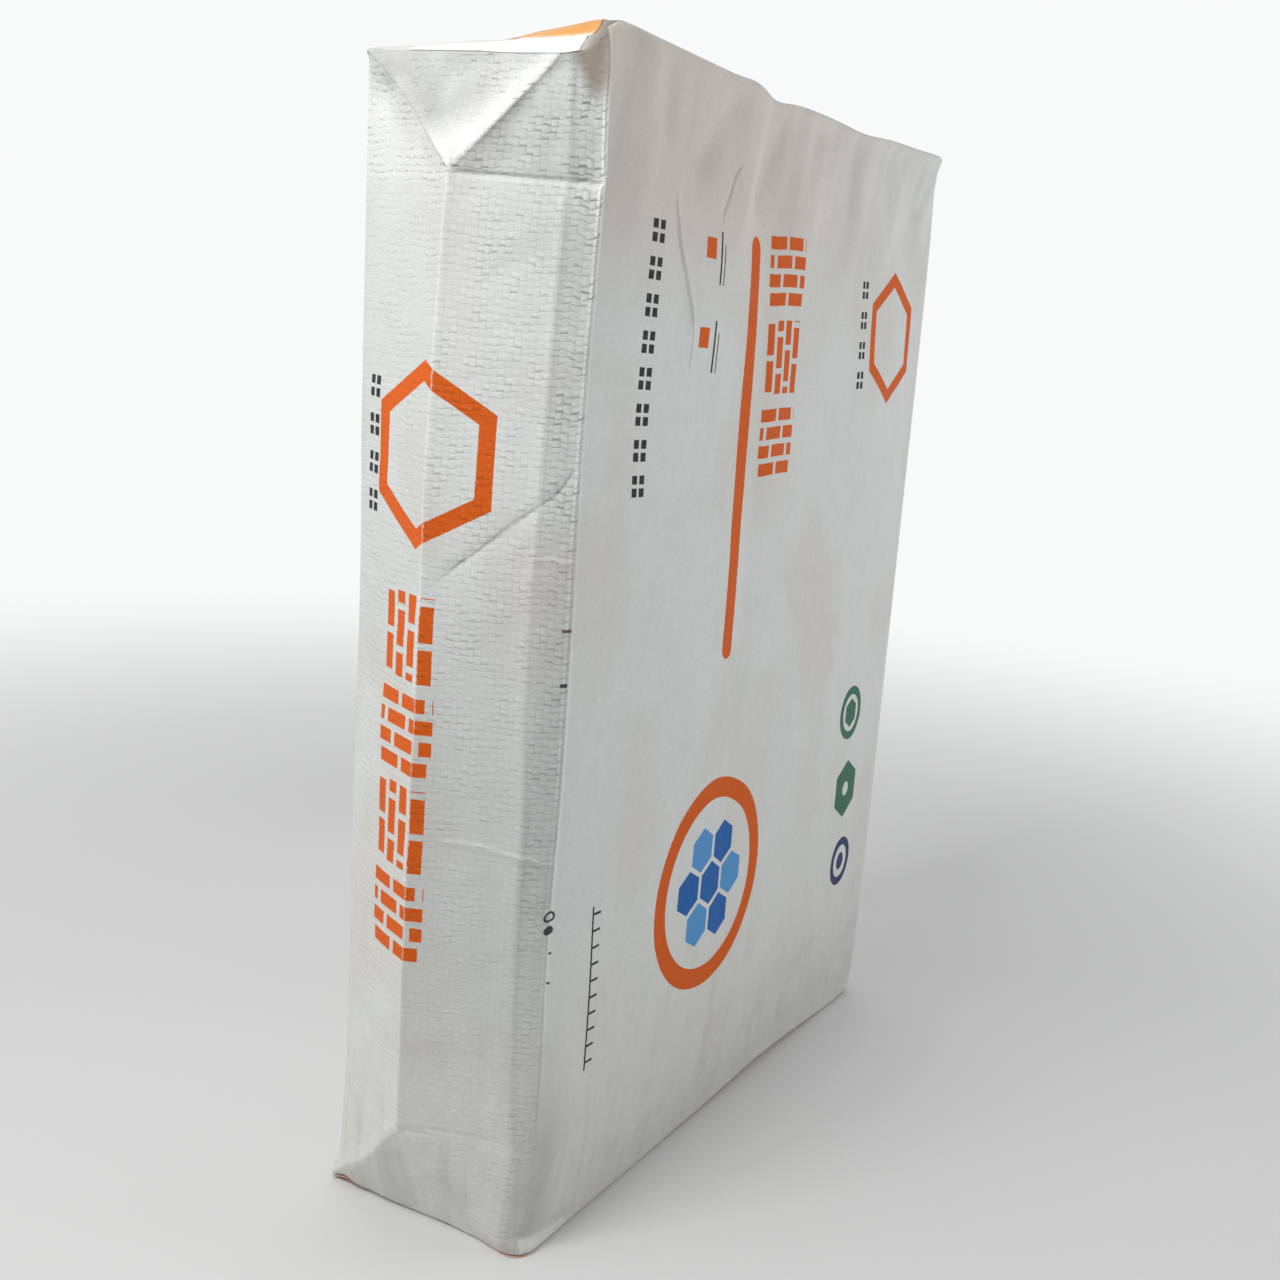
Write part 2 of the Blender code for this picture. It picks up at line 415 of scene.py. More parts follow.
    # dent beside the left diagonal, under the back corner
    h = h - 2.6 * np.exp(-(((far - 11.0) / 7.5) ** 2) - (((v - 483.5) / 8.5) ** 2)) * inside * step((-q_tri - 0.5) / 5)
    # the lower triangle is slack, with shallow uprights
    low_tri = step((TIP_BOT * (1 - np.abs(u - U_RIDGE) / HALF) + 3 - v) / 8)
    h = h + inside * low_tri * 0.35 * noise(u / 7, v / 40, 12)
    # the upper triangle is a flap over the sides, a little hollow
    h = h + 0.6 * step((q_tri + 0.05) / 0.55) * step(up / 2)
    out_q = np.clip(-q_tri, 0, None)
    h = h - 1.3 * step(out_q / 2.2) * np.exp(-((out_q / 9.0) ** 2)) * step((up - 1) / 7) * front * step((u - U_RIDGE - 4) / 8)
    hollow = np.sin(np.pi * np.clip(up / TIP_TOP, 0, 1)) * step(q_tri / 11)
    h = h - 3.4 * hollow + 0.16 * hollow * noise(u / 30, v / 4.2, 13)
    # puckers between the near fold, the seam and the fold line below
    pk = step(-q_tri / 3) * step((near - SEAM - 1) / 3) * step((TIP_TOP - 1 - up) / 4) * front
    h = h + pk * (0.55 * noise(u / 5.5 + 3, v / 13, 14) + 0.30 * noise(u / 9, v / 5.0, 15))
    p[..., 0] -= h
    return p


TIP_CREASE = [(-61.5, 453.7), (-50.7, 453.1), (-40.9, 452.9), (-29.2, 452.7), (-20.9, 452.9),
              (-13.5, 452.6), (-9.4, 452.2), (-6.8, 451.0), (-4.0, 448.6), (-2.0, 446.4), (3, 443.6)]


LOW_CREASE = [(-61, 51.3), (-41.2, 53.4), (-23.7, 52.6), (-9.3, 50.5), (-1, 49.6), (4, 49.4)]


def seam_line(v):
    """How far the lap seam's edge lies from the near edge."""
    return curve([0, 18, 50, 100, 178, 244, 277, 310, 341, 403, 447, 475, 490, 500],
                 [1.6, 4.4, 8.6, 11.2, 11.6, 14.9, 14.6, 14.0, 13.6, 13.2, 13.2, 14.0, 15.5, 16.2], v)


CREASES_LEFT = [
    ([(-2.0, 340), (-13.5, 329.7), (-21, 322.8), (-27.4, 316.4), (-38.2, 308.3), (-55, 294)],
     0.75, 9.0, 3.0, 0.12),
    ([(-15, 306.6), (-8, 305.0)], 0.35, 3.0, 2.0, 0.3),
    ([(-17.0, 101), (-16.0, 59)], -0.30, 2.5, 2.5, 0.1),
    ([(-11.3, 94), (-10.4, 53)], 0.25, 2.5, 2.5, 0.1),
    ([(-52, 262), (-33, 268), (-20, 262)], 0.30, 4.0, 3.0, 0.25),
    ([(-50, 232), (-38, 240), (-30, 236)], 0.22, 3.5, 3.0, 0.3),
    ([(-44, 414), (-28, 422), (-17, 419)], 0.25, 4.0, 4.0, 0.3),
    ([(-34, 384), (-22, 378), (-9, 382)], 0.28, 4.0, 3.0, 0.3),
]


LOW_CREST = [(-49, 185.0), (-30.5, 185.8), (-22.1, 184.2), (-13.7, 182.6), (-6.9, 181.0), (1.0, 177.0)]


def pos_right(u, v):
    """The far narrow side: the same folds, with its own dents."""
    k = u - U_FR
    s, t = k / GUSSET, v / H
    p = coons(s, t, edge_fr, edge_br, rim_br, rim_tr)
    mid = coons(np.full_like(s, 0.5), t, edge_fr, edge_br, rim_br, rim_tr)[..., 0]
    line = W + curve([0, 51, 120, 240, 360, 449, 500],
                     [22.5, 22.5, 23.2, 23.6, 22.8, 20.0, 20.0], v)
    h = roof(U_FR + HALF, u, v, line - mid, (24.0, 22.0))
    near, far = k, GUSSET - k
    body = step((v - 40) / 30) * step((452 - v) / 14)
    for d in (near, far):
        h = h + 0.9 * np.clip(np.minimum(d / 11, (HALF - d) / (HALF - 11)), 0, 1) * body
    half = np.minimum(near, far)
    h = h + 0.9 * np.sin(np.pi * np.clip(half / HALF, 0, 1)) ** 2 * body
    h = h + step((HALF - near) / 4) * groove(
        u, v, [(U_FR - 5, 448), (U_FR + 20, 447), (U_FR + 63, 449)], 0.9, 20, 12, 0)
    h = h + step((near - HALF) / 4) * groove(
        u, v, [(U_FR + 58, 449), (U_FR + 95, 447), (U_BR + 5, 448)], 0.6, 14, 10, 0)
    h = h + groove(u, v, [(U_FR - 2, 51), (U_BR + 2, 52)], 0.5, 5, 5, 0)
    for pts, dep, lft, rgt in (
        ([(14, 398), (30, 381), (52, 370)], 0.6, 8, 3),
        ([(66, 300), (84, 322), (108, 331)], 0.6, 3, 8),
        ([(12, 215), (28, 196), (49, 190)], 0.5, 7, 3),
        ([(70, 140), (90, 128), (110, 131)], 0.45, 4, 6),
        ([(20, 96), (24, 62)], 0.35, 3, 3),
    ):
        h = h + groove(u, v, [(U_FR + a, b) for a, b in pts], dep, lft, rgt, 0.2)
    inside = step(near / 5) * step(far / 5) * step((H - v) / 5) * step(v / 5)
    h = h + inside * (
        0.9 * noise(u / 34, v / 44, 23)
        + 0.30 * noise(u / 15 + 5, v / 12, 24)
        + 0.06 * noise(u / 17, v / 4.2, 25)
    )
    h = h + 0.30 * np.exp(-(((near - HALF) / 1.3) ** 2)) * body
    p[..., 0] += h
    return p


# ------------------------------------------------------------------ wide faces
FRONT_FOLDS = [
    # (points, depth, reach left, reach right): soft pulls under the upper rim
    ([(112, 505), (104, 490), (96, 480), (87, 469), (72, 460), (62, 450)], 4.0, 16, 13, 0.30),
    ([(166, 503), (161, 493), (155, 481), (145, 468), (134, 452), (128, 438)], 4.3, 16, 14, 0.28),
    ([(200, 502), (193, 482), (188, 458)], 3.1, 13, 11, 0.35),
    ([(244, 500), (240, 480), (236, 452)], 2.1, 14, 12, 0.35),
    ([(290, 503), (286, 485), (286, 462), (288, 440)], 2.8, 15, 11, 0.30),
    ([(334, 500), (328, 470), (330, 430)], 1.7, 12, 11, 0.35),
    ([(350, 484), (340, 470), (322, 462)], 2.8, 7, 9, 0.35),
    ([(50, 505), (44, 486), (42, 460)], 2.7, 13, 11, 0.35),
    # pressed creases
    ([(53, 441), (54.5, 434), (63.4, 417), (70, 405), (73, 398), (75, 379)], -1.35, 1.6, 3.4, 0.12),
    ([(112, 463), (107, 456), (102, 449), (94, 437)], 1.25, 1.7, 4.0, 0.2),
    # low corner, near the floor
    ([(14, 44), (22, 26), (36, 14)], 0.9, 12, 7, 0.3),
    ([(52, 30), (64, 16), (80, 9)], 0.5, 10, 5, 0.3),
    ([(326, 34), (338, 20), (349, 16)], 1.2, 9, 8, 0.3),
]


def pos_front(u, v):
    s, t = u / W, v / H
    p = coons(s, t, edge_fl, edge_fr, rim_bf, rim_tf)
    left, right, up, low = u, W - u, H - v, v
    # crown of the filling: fuller in the lower half, tight near the edges
    a = 1 - np.abs(2 * s - 1) ** 3.0
    b = (1 - np.clip(1 - v / 120, 0, 1) ** 2.6) * (1 - np.clip(1 - up / 150, 0, 1) ** 2.4)
    h = 4.6 * a * b * (1.0 + 0.22 * np.cos(np.pi * (v - 150) / 380))
    for k, (pts, dep, lft, rgt, ends) in enumerate(FRONT_FOLDS):
        h = h + groove(u, v, pts, dep, lft, rgt, ends, 0.35 if k in (8, 9) else 4.0)
    inside = step(left / 12) * step(right / 10) * step(up / 7) * step(low / 7)
    pull = step((v - 395) / 70)
    h = h + inside * (
        1.05 * noise(u / 74 + 2, v / 88, 31)
        + 0.34 * noise(u / 31, v / 40 + 4, 32)
        + 0.10 * noise(u / 12, v / 17, 33)
        + pull * 1.05 * noise((u + 0.35 * (500 - v)) / 17.0, v / 50, 34)
        + 0.05 * noise(u / 5.5, v / 26, 36)
    )
    p[..., 1] -= h
    return p


def pos_back(u, v):
    k = u - U_BR
    s, t = k / W, v / H
    p = coons(
        s, t, edge_br, edge_bl, lambda q: rim_bb(1 - q), lambda q: rim_tb(1 - q))
    up, low = H - v, v
    a = 1 - np.abs(2 * s - 1) ** 3.0
    b = (1 - np.clip(1 - v / 110, 0, 1) ** 2.6) * (1 - np.clip(1 - up / 140, 0, 1) ** 2.4)
    h = 4.4 * a * b * (1.0 + 0.2 * np.cos(np.pi * (v - 140) / 380))
    for pts, dep, lft, rgt, ends in (
        ([(60, 503), (66, 480), (72, 452)], 0.9, 12, 9, 0.3),
        ([(150, 503), (152, 478), (160, 446)], 0.8, 12, 9, 0.3),
        ([(238, 503), (232, 480), (228, 440)], 1.0, 12, 10, 0.3),
        ([(300, 503), (294, 470), (298, 430)], 0.7, 12, 9, 0.3),
        ([(96, 340), (112, 318), (120, 296)], 0.45, 4, 7, 0.25),
        ([(250, 226), (262, 204), (259, 184)], 0.40, 4, 6, 0.25),
        ([(18, 46), (32, 24), (50, 14)], 0.9, 9, 9, 0.3),
        ([(310, 16), (330, 26), (342, 44)], 0.9, 9, 9, 0.3),
    ):
        h = h + groove(u, v, [(U_BR + x, z) for x, z in pts], dep, lft, rgt, ends)
    inside = step(k / 12) * step((W - k) / 12) * step(up / 7) * step(low / 7)
    pull = step((v - 395) / 70)
    h = h + inside * (
        1.2 * noise(u / 76 + 2, v / 92, 41)
        + 0.40 * noise(u / 33, v / 42 + 4, 42)
        + 0.12 * noise(u / 13, v / 18, 43)
        + pull * 0.4 * noise((u - 0.2 * (500 - v)) / 11, v / 70, 44)
    )
    p[..., 1] += h
    return p


# ------------------------------------------------------------------ block ends
def pos_top(u, v):
    """Upper end, u along x and v = 520 + y."""
    y = v - 520
    s, t = u / W, y / D

    def flat(a, b):
        return coons(a / W, b / D, lambda q: rim_tl(1 - q), rim_tr, rim_tf, rim_tb)

    p = flat(u, y)
    # the short edge is rolled over; the filling lifts a wedge behind the front corner
    roll = curve([0, 8, 20, 40, 58, 82, 100, 109],
                 [498.6, 498.4, 498.5, 498.8, 498.7, 498.0, 497.4, 496.8], y)
    crest = curve([0, 4, 8, 13, 20, 27.5, 35, 41, 45, 50, 60, 109],
                  [505.8, 505.9, 505.9, 505.6, 504.6, 503.4, 502.4, 501.4, 500.2, 499.3, 499.2, 497.6], y)
    base4 = flat(np.full_like(y, 4.0), y)[..., 2]
    base10 = flat(np.full_like(y, 10.0), y)[..., 2]
    up4 = np.maximum(roll - base4, 0.0)
    up10 = np.maximum(crest - base10, 0.0)
    lift = np.where(u < 4, up4 * (u / 4) ** 0.85, up4 + (up10 - up4) * step((u - 4) / 7.0))
    lift = lift * (1 - step((u - 34) / 90))
    h = lift + 1.6 * np.sin(np.pi * np.clip(s, 0, 1)) * np.sin(np.pi * np.clip(t, 0, 1))
    inside = step((u - 8) / 12) * step((W - u) / 12) * step(y / 10) * step((D - y) / 10)
    h = h + inside * (0.9 * noise(u / 40, y / 30, 51) + 0.3 * noise(u / 16, y / 14, 52))
    p[..., 2] += h
    return p


def pos_bottom(u, v):
    """Lower end, u along x and v = -20 - y."""
    y = -20 - v
    s, t = u / W, y / D
    p = coons(
        s, t, lambda q: rim_bl(1 - q), rim_br, rim_bf, rim_bb)
    # the load presses the middle flat on the floor
    edge = np.minimum(np.minimum(u, W - u), np.minimum(y, D - y))
    flat = step(edge / 14)
    p[..., 2] = p[..., 2] * (1 - flat) - 0.25 * flat
    return p


# ------------------------------------------------------------------ panels to one mesh
STEP_SIDE, STEP_FRONT, STEP_FAR, STEP_BACK, STEP_END = 1.72, 2.5, 2.75, 3.6, 3.7


def stations(a, b, gap):
    n = max(2, int(round(abs(b - a) / gap)))
    return np.linspace(a, b, n + 1)


V_NEAR = stations(0, H, STEP_SIDE)
V_BL = stations(0, H, STEP_SIDE * 1.25)
V_FR = stations(0, H, STEP_FRONT)
V_BR = stations(0, H, STEP_BACK)
S_TF = stations(0, W, STEP_FRONT)
S_TB = stations(0, W, STEP_BACK)
S_BF = stations(0, W, STEP_FRONT)
S_BB = stations(0, W, STEP_BACK)
S_TL = stations(0, GUSSET, STEP_SIDE)
S_BL = stations(0, GUSSET, STEP_SIDE)
S_TR = stations(0, GUSSET, STEP_FAR)
S_BR = stations(0, GUSSET, STEP_FAR)

edges = {
    "FL": V_NEAR, "BL": V_BL, "FR": V_FR, "BR": V_BR,
    "TF": S_TF, "TB": S_TB, "BF": S_BF, "BB": S_BB,
    "TL": S_TL, "BLr": S_BL, "TR": S_TR, "BRr": S_BR,
}
corner_of = {  # which corner each edge starts and ends at
    "FL": ("bfl", "tfl"), "BL": ("bbl", "tbl"), "FR": ("bfr", "tfr"), "BR": ("bbr", "tbr"),
    "TF": ("tfl", "tfr"), "TB": ("tbl", "tbr"), "BF": ("bfl", "bfr"), "BB": ("bbl", "bbr"),
    "TL": ("tbl", "tfl"), "BLr": ("bbl", "bfl"), "TR": ("tfr", "tbr"), "BRr": ("bfr", "bbr"),
}
shared = {}      # shared vertices of the panels: key to index
count = 0
for name, st in edges.items():
    a, b = corner_of[name]
    for i in range(len(st)):
        key = a if i == 0 else b if i == len(st) - 1 else (name, i)
        if key not in shared:
            shared[key] = count
            count += 1


def edge_keys(name):
    a, b = corner_of[name]
    n = len(edges[name])
    return [shared[a if i == 0 else b if i == n - 1 else (name, i)] for i in range(n)]


def lattice(u0, u1, v0, v1, gap):
    rows = int(round((v1 - v0) / (gap * 0.866)))
    cols = int(round((u1 - u0) / gap))
    du, dv = (u1 - u0) / cols, (v1 - v0) / rows
    out = []
    for j in range(1, rows):
        off = 0.5 if j % 2 else 0.0
        k = np.arange(0, cols + 1) + off
        uu = u0 + k * du
        uu = uu[(uu > u0 + 1e-6) & (uu < u1 - 1e-6)]
        out.append(np.stack([uu, np.full_like(uu, v0 + j * dv)], -1))
    return np.concatenate(out)


def resample(pts, gap):
    pts = np.asarray(pts, float)
    seg = np.hypot(*(pts[1:] - pts[:-1]).T)
    run = np.concatenate([[0], np.cumsum(seg)])
    q = stations(0, run[-1], gap)
    return np.stack([np.interp(q, run, pts[:, 0]), np.interp(q, run, pts[:, 1])], -1)


def mesh_panel(u0, u1, v0, v1, gap, sides, rows, lines):
    """Triangles of one panel.  sides: (edge name, stations, reversed) for left,
    right, bottom and top; rows: extra lines of points beside each side; lines:
    fold lines that the triangles follow."""
    pts, ids = [], []
    (ln, lv, lr), (rn, rv, rr), (bn, bu, br), (tn, tu, tr) = sides
    for (name, st, rev), where in zip(sides, ("l", "r", "b", "t")):
        keys = edge_keys(name)
        if rev:
            keys = keys[::-1]
            st = (st[-1] - st)[::-1] + st[0]
        full = len(st)
        for i, (q, k) in enumerate(zip(st, keys)):
            if where in "bt" and i in (0, full - 1):
                continue                       # the corners come with left and right
            f = (q - st[0]) / (st[-1] - st[0])
            u = u0 if where == "l" else u1 if where == "r" else u0 + f * (u1 - u0)
            v = v0 if where == "b" else v1 if where == "t" else v0 + f * (v1 - v0)
            pts.append((u, v))
            ids.append(k)
    n_edge = len(pts)
    extra = []
    for where, offs, g in rows:
        for j, o in enumerate(offs):
            if where in "lr":
                q = stations(v0 + 0.8, v1 - 0.8, g) + (0.5 * g if j % 2 else 0)
                q = q[q < v1 - 0.7]
                x = np.full_like(q, u0 + o if where == "l" else u1 - o)
                extra.append(np.stack([x, q], -1))
            else:
                q = stations(u0 + 0.8, u1 - 0.8, g) + (0.5 * g if j % 2 else 0)
                q = q[q < u1 - 0.7]
                y = np.full_like(q, v0 + o if where == "b" else v1 - o)
                extra.append(np.stack([q, y], -1))
    grid = lattice(u0, u1, v0, v1, gap)
    keep = np.ones(len(grid), bool)
    for where, offs, g in rows:
        last = offs[-1] + 0.62 * gap
        if where == "l":
            keep &= grid[:, 0] - u0 > last
        elif where == "r":
            keep &= u1 - grid[:, 0] > last
        elif where == "b":
            keep &= grid[:, 1] - v0 > last
        else:
            keep &= v1 - grid[:, 1] > last
    cons = []
    base = []
    for line, reach, g in lines:
        q = resample(line, g)
        q = q[(q[:, 0] > u0 + 0.3) & (q[:, 0] < u1 - 0.3) & (q[:, 1] > v0 + 0.3) & (q[:, 1] < v1 - 0.3)]
        if len(q) < 2:
            continue
        d, _, _ = to_line(grid[:, 0], grid[:, 1], q)
        keep &= d > reach
        base.append(q)
    if extra:
        extra = np.concatenate(extra)
        ok = np.ones(len(extra), bool)
        for q in base:
            d, _, _ = to_line(extra[:, 0], extra[:, 1], q)
            ok &= d > 0.45
        extra = extra[ok]
    else:
        extra = np.zeros((0, 2))
    allp = [np.asarray(pts, float), extra, grid[keep]]
    start = sum(len(a) for a in allp)
    for q in base:
        cons += [(start + i, start + i + 1) for i in range(len(q) - 1)]
        allp.append(q)
        start += len(q)
    allp = np.concatenate(allp)
    out = delaunay_2d_cdt([Vector(p) for p in allp.tolist()], cons, [], 0, 1e-4, True)
    verts = np.array([tuple(p) for p in out[0]], float)
    tris = np.array(out[2], int)
    ident = np.full(len(verts), -1)
    for i, src in enumerate(out[3]):
        for k in src:
            if k < n_edge:
                ident[i] = ids[k]
    # leave out slivers of no area along the border
    a, b, c = verts[tris[:, 0]], verts[tris[:, 1]], verts[tris[:, 2]]
    area = (b[:, 0] - a[:, 0]) * (c[:, 1] - a[:, 1]) - (b[:, 1] - a[:, 1]) * (c[:, 0] - a[:, 0])
    tris = tris[area > 1e-7]
    return verts, tris, ident


# how far each edge's bend reaches into its panels, and the two inward directions
def bend_near(v):
    return curve([0, 12, 40, 90, 150, 210, 500], [4.0, 6.0, 6.5, 6.5, 5.0, 1.9, 1.7], v)


BENDS = {
    "FL": (np.array([0.58, 0.907, 0.0]), bend_near),
    "BL": (np.array([0.58, -0.907, 0.0]), lambda v: np.full_like(v, 2.2)),
    "FR": (np.array([-0.58, 0.907, 0.0]),
           lambda v: curve([0, 10, 40, 120, 500], [14, 9, 5, 3.2, 2.2], v)),
    "BR": (np.array([-0.58, -0.907, 0.0]), lambda v: np.full_like(v, 4.0)),
    "TF": (np.array([0.0, 1.0, -1.0]), lambda v: np.full_like(v, 2.0)),
    "TB": (np.array([0.0, -1.0, -1.0]), lambda v: np.full_like(v, 3.0)),
    "TL": (np.array([0.6, 0.0, 0.0]), lambda v: np.full_like(v, 1.4)),
    "TR": (np.array([-0.6, 0.0, -0.917]), lambda v: np.full_like(v, 3.0)),
    "BF": (np.array([0.0, 1.0, 1.0]), lambda v: np.full_like(v, 2.4)),
    "BB": (np.array([0.0, -1.0, 1.0]), lambda v: np.full_like(v, 4.0)),
    "BLr": (np.array([0.6, 0.0, 0.917]), lambda v: np.full_like(v, 1.6)),
    "BRr": (np.array([-0.6, 0.0, 0.917]), lambda v: np.full_like(v, 4.0)),
}


def rounded(p, edge, dist, along):
    way, reach = BENDS[edge]
    r = reach(along)
    k = np.clip(r - dist, 0, None) ** 2 / (4 * r)
    return p + k[..., None] * way


def local_moves(p):
    """Small shapes at the corners, where the panels meet."""
    x, y, z = p[..., 0], p[..., 1], p[..., 2]
    out = p.copy()
    # folded lip along the near lower corner
    f = step((x + 8) / 5) * step((40 - x) / 22)
    q = z - (7.5 - 0.10 * x)
    out[..., 1] += 1.9 * f * np.exp(-((q - 1.0) / 3.4) ** 2) * np.clip(1 - y / 8, 0, 1)
    out[..., 1] -= 0.7 * f * np.exp(-((z - 2.5) / 2.6) ** 2) * np.clip(1 - y / 8, 0, 1)
    # the lower back corner flares out
    g = np.exp(-((109 - y) / 8) ** 2) * np.clip(1 - z / 12, 0, 1) ** 1.6 * np.exp(-(np.clip(x, 0, None) / 10) ** 2)
    out[..., 0] -= 4.2 * g
    out[..., 1] += 1.2 * g
    # the upper back corner is drawn out to a point
    g = np.exp(-((109 - y) / 7) ** 2) * np.clip((z - 491.5) / 5.5, 0, 1) ** 1.5 * np.exp(-(np.clip(x, 0, None) / 8) ** 2)
    out[..., 0] -= 4.2 * g
    out[..., 1] += 1.2 * g
    return out


lines_left = []
apex_t, apex_b = (U_RIDGE, H - TIP_TOP), (U_RIDGE, TIP_BOT)
for o in (-0.9, 0.0, 0.9):
    lines_left.append(([(U_RIDGE + o, TIP_BOT + 2), (U_RIDGE + o, H - TIP_TOP - 2)], 1.3, 1.7))
for o in (-0.65, 0.0, 0.65):
    for sgn, reach in ((-1, HALF), (1, NEAR_END)):
        lines_left.append(([(U_RIDGE + sgn * 1.4, H - TIP_TOP + o + 1.4 * TIP_TOP / reach),
                            (U_RIDGE + sgn * (reach - 1.2), H + o - 1.2)], 1.25, 1.7))
    d_low = np.linspace(1.4, HALF - 1.2, 30)
    lines_left.append((np.stack([
        U_RIDGE - d_low, TIP_BOT * (1 - d_low / HALF) ** (1 / (1 - 0.13 * step(d_low / 22))) + o], -1),
        1.25, 1.7))
sv = np.linspace(3, 497, 60)
for o in (-0.22, 0.22):
    lines_left.append((np.stack([-(seam_line(sv) + o), sv], -1), 1.15, 1.7))
for o in (-0.6, 0.0, 0.6):
    lines_left.append(([(-57, 453.4 + o), (-50.7, 453.1 + o), (-40.9, 452.9 + o), (-29.2, 452.7 + o),
                        (-20.9, 452.9 + o), (-16.5, 452.8 + o)], 1.1, 1.6))
    lines_left.append(([(-9.4, 452.2 + o), (-6.8, 451.0 + o), (-4.0, 448.6 + o), (-1.4, 446.0 + o)], 1.1, 1.6))
lines_left.append(([(-58, 51.6), (-41.2, 53.4), (-23.7, 52.6), (-13, 51.0)], 1.1, 1.6))
lines_left.append((CREASES_LEFT[0][0], 1.1, 1.6))

lines_front = [(FRONT_FOLDS[i][0], 1.5, 2.0) for i in (8, 9)]

near_rows = [0.75, 1.6, 2.7, 4.1]
panels = [
    ("left", pos_left, mesh_panel(
        U_BL, U_FL, 0, H, STEP_SIDE,
        [("BL", V_BL, False), ("FL", V_NEAR, False), ("BLr", S_BL, False), ("TL", S_TL, False)],
        [("r", near_rows, 1.72), ("l", [1.0, 2.3], 2.0), ("t", [0.8, 1.8], 1.72), ("b", [0.9], 1.8)],
        lines_left)),
    ("front", pos_front, mesh_panel(
        U_FL, U_FR, 0, H, STEP_FRONT,
        [("FL", V_NEAR, False), ("FR", V_FR, False), ("BF", S_BF, False), ("TF", S_TF, False)],
        [("l", near_rows + [6.2], 2.0), ("r", [1.2, 2.8], 2.5), ("t", [0.9, 2.1], 2.5), ("b", [1.0, 2.4, 4.2], 2.5)],
        lines_front)),
    ("right", pos_right, mesh_panel(
        U_FR, U_BR, 0, H, STEP_FAR,
        [("FR", V_FR, False), ("BR", V_BR, False), ("BRr", S_BR, False), ("TR", S_TR, False)],
        [("l", [1.3, 3.0], 2.8), ("r", [1.5], 3.4), ("t", [1.4], 2.8), ("b", [1.4], 2.8)],
        [([(U_FR + HALF, TIP_BOT + 2), (U_FR + HALF, H - TIP_TOP - 2)], 1.6, 2.6)])),
    ("back", pos_back, mesh_panel(
        U_BR, U_END, 0, H, STEP_BACK,
        [("BR", V_BR, False), ("BL", V_BL, False), ("BB", S_BB, True), ("TB", S_TB, True)],
        [("l", [1.5], 3.6), ("r", [1.4], 3.2), ("t", [1.5], 3.6), ("b", [1.5], 3.6)],
        [])),
    ("top", pos_top, mesh_panel(
        0, W, 520, 520 + D, STEP_END,
        [("TL", S_TL, True), ("TR", S_TR, False), ("TF", S_TF, False), ("TB", S_TB, False)],
        [("l", [0.9, 2.0, 3.2, 4.6, 6.3, 8.2, 10.4], 2.4), ("b", [1.2], 3.0)],
        [])),
    ("bottom", pos_bottom, mesh_panel(
        0, W, -20 - D, -20, STEP_END,
        [("BLr", S_BL, False), ("BRr", S_BR, True), ("BB", S_BB, False), ("BF", S_BF, False)],
        [("l", [1.2], 3.0), ("t", [1.2], 3.0)],
        [])),
]

EDGE_RULES = {  # edge, distance to it and place along it, for each panel
    "left": [("FL", lambda u, v: (-u, v)), ("BL", lambda u, v: (u - U_BL, v)),
             ("TL", lambda u, v: (H - v, u)), ("BLr", lambda u, v: (v, u))],
    "front": [("FL", lambda u, v: (u, v)), ("FR", lambda u, v: (W - u, v)),
              ("TF", lambda u, v: (H - v, u)), ("BF", lambda u, v: (v, u))],
    "right": [("FR", lambda u, v: (u - U_FR, v)), ("BR", lambda u, v: (U_BR - u, v)),
              ("TR", lambda u, v: (H - v, u)), ("BRr", lambda u, v: (v, u))],
    "back": [("BR", lambda u, v: (u - U_BR, v)), ("BL", lambda u, v: (U_END - u, v)),
             ("TB", lambda u, v: (H - v, u)), ("BB", lambda u, v: (v, u))],
    "top": [("TL", lambda u, v: (u, v)), ("TR", lambda u, v: (W - u, v)),
            ("TF", lambda u, v: (v - 520, u)), ("TB", lambda u, v: (520 + D - v, u))],
    "bottom": [("BLr", lambda u, v: (u, v)), ("BRr", lambda u, v: (W - u, v)),
               ("BF", lambda u, v: (-20 - v, u)), ("BB", lambda u, v: (v + 20 + D, u))],
}


def place(name, fn, u, v):
    """A point of the skin, with the bend of each edge near it."""
    p = fn(np.asarray(u, float), np.asarray(v, float))
    for edge, rule in EDGE_RULES[name]:
        d, a = rule(np.asarray(u, float), np.asarray(v, float))
        p = rounded(p, edge, d, a)
    return p


total = np.zeros((count, 3))
hits = np.zeros(count)
loose, all_tris, all_uv = [], [], []
next_id = count
for name, fn, (uv, tris, ident) in panels:
    p = place(name, fn, uv[:, 0], uv[:, 1])
    edge = ident >= 0
    np.add.at(total, ident[edge], p[edge])
    np.add.at(hits, ident[edge], 1)
    ids = ident.copy()
    ids[~edge] = next_id + np.arange((~edge).sum())
    next_id += int((~edge).sum())
    loose.append(p[~edge])
    all_tris.append(ids[tris])
    all_uv.append(uv[tris])
co = np.concatenate([total / np.maximum(hits, 1)[:, None], *loose])
faces = np.concatenate(all_tris)
face_uv = np.concatenate(all_uv)
used = np.unique(faces)
remap = np.full(len(co), -1)
remap[used] = np.arange(len(used))
co, faces = co[used], remap[faces]


def smooth_near(co, faces, weight, times):
    """Relaxes vertices by weight towards the mean of their neighbours."""
    e = np.concatenate([faces[:, [0, 1]], faces[:, [1, 2]], faces[:, [2, 0]]])
    e = np.concatenate([e, e[:, ::-1]])
    for _ in range(times):
        acc = np.zeros_like(co)
        n = np.zeros(len(co))
        np.add.at(acc, e[:, 0], co[e[:, 1]])
        np.add.at(n, e[:, 0], 1)
        co = co + weight[:, None] * (acc / n[:, None] - co)
    return co


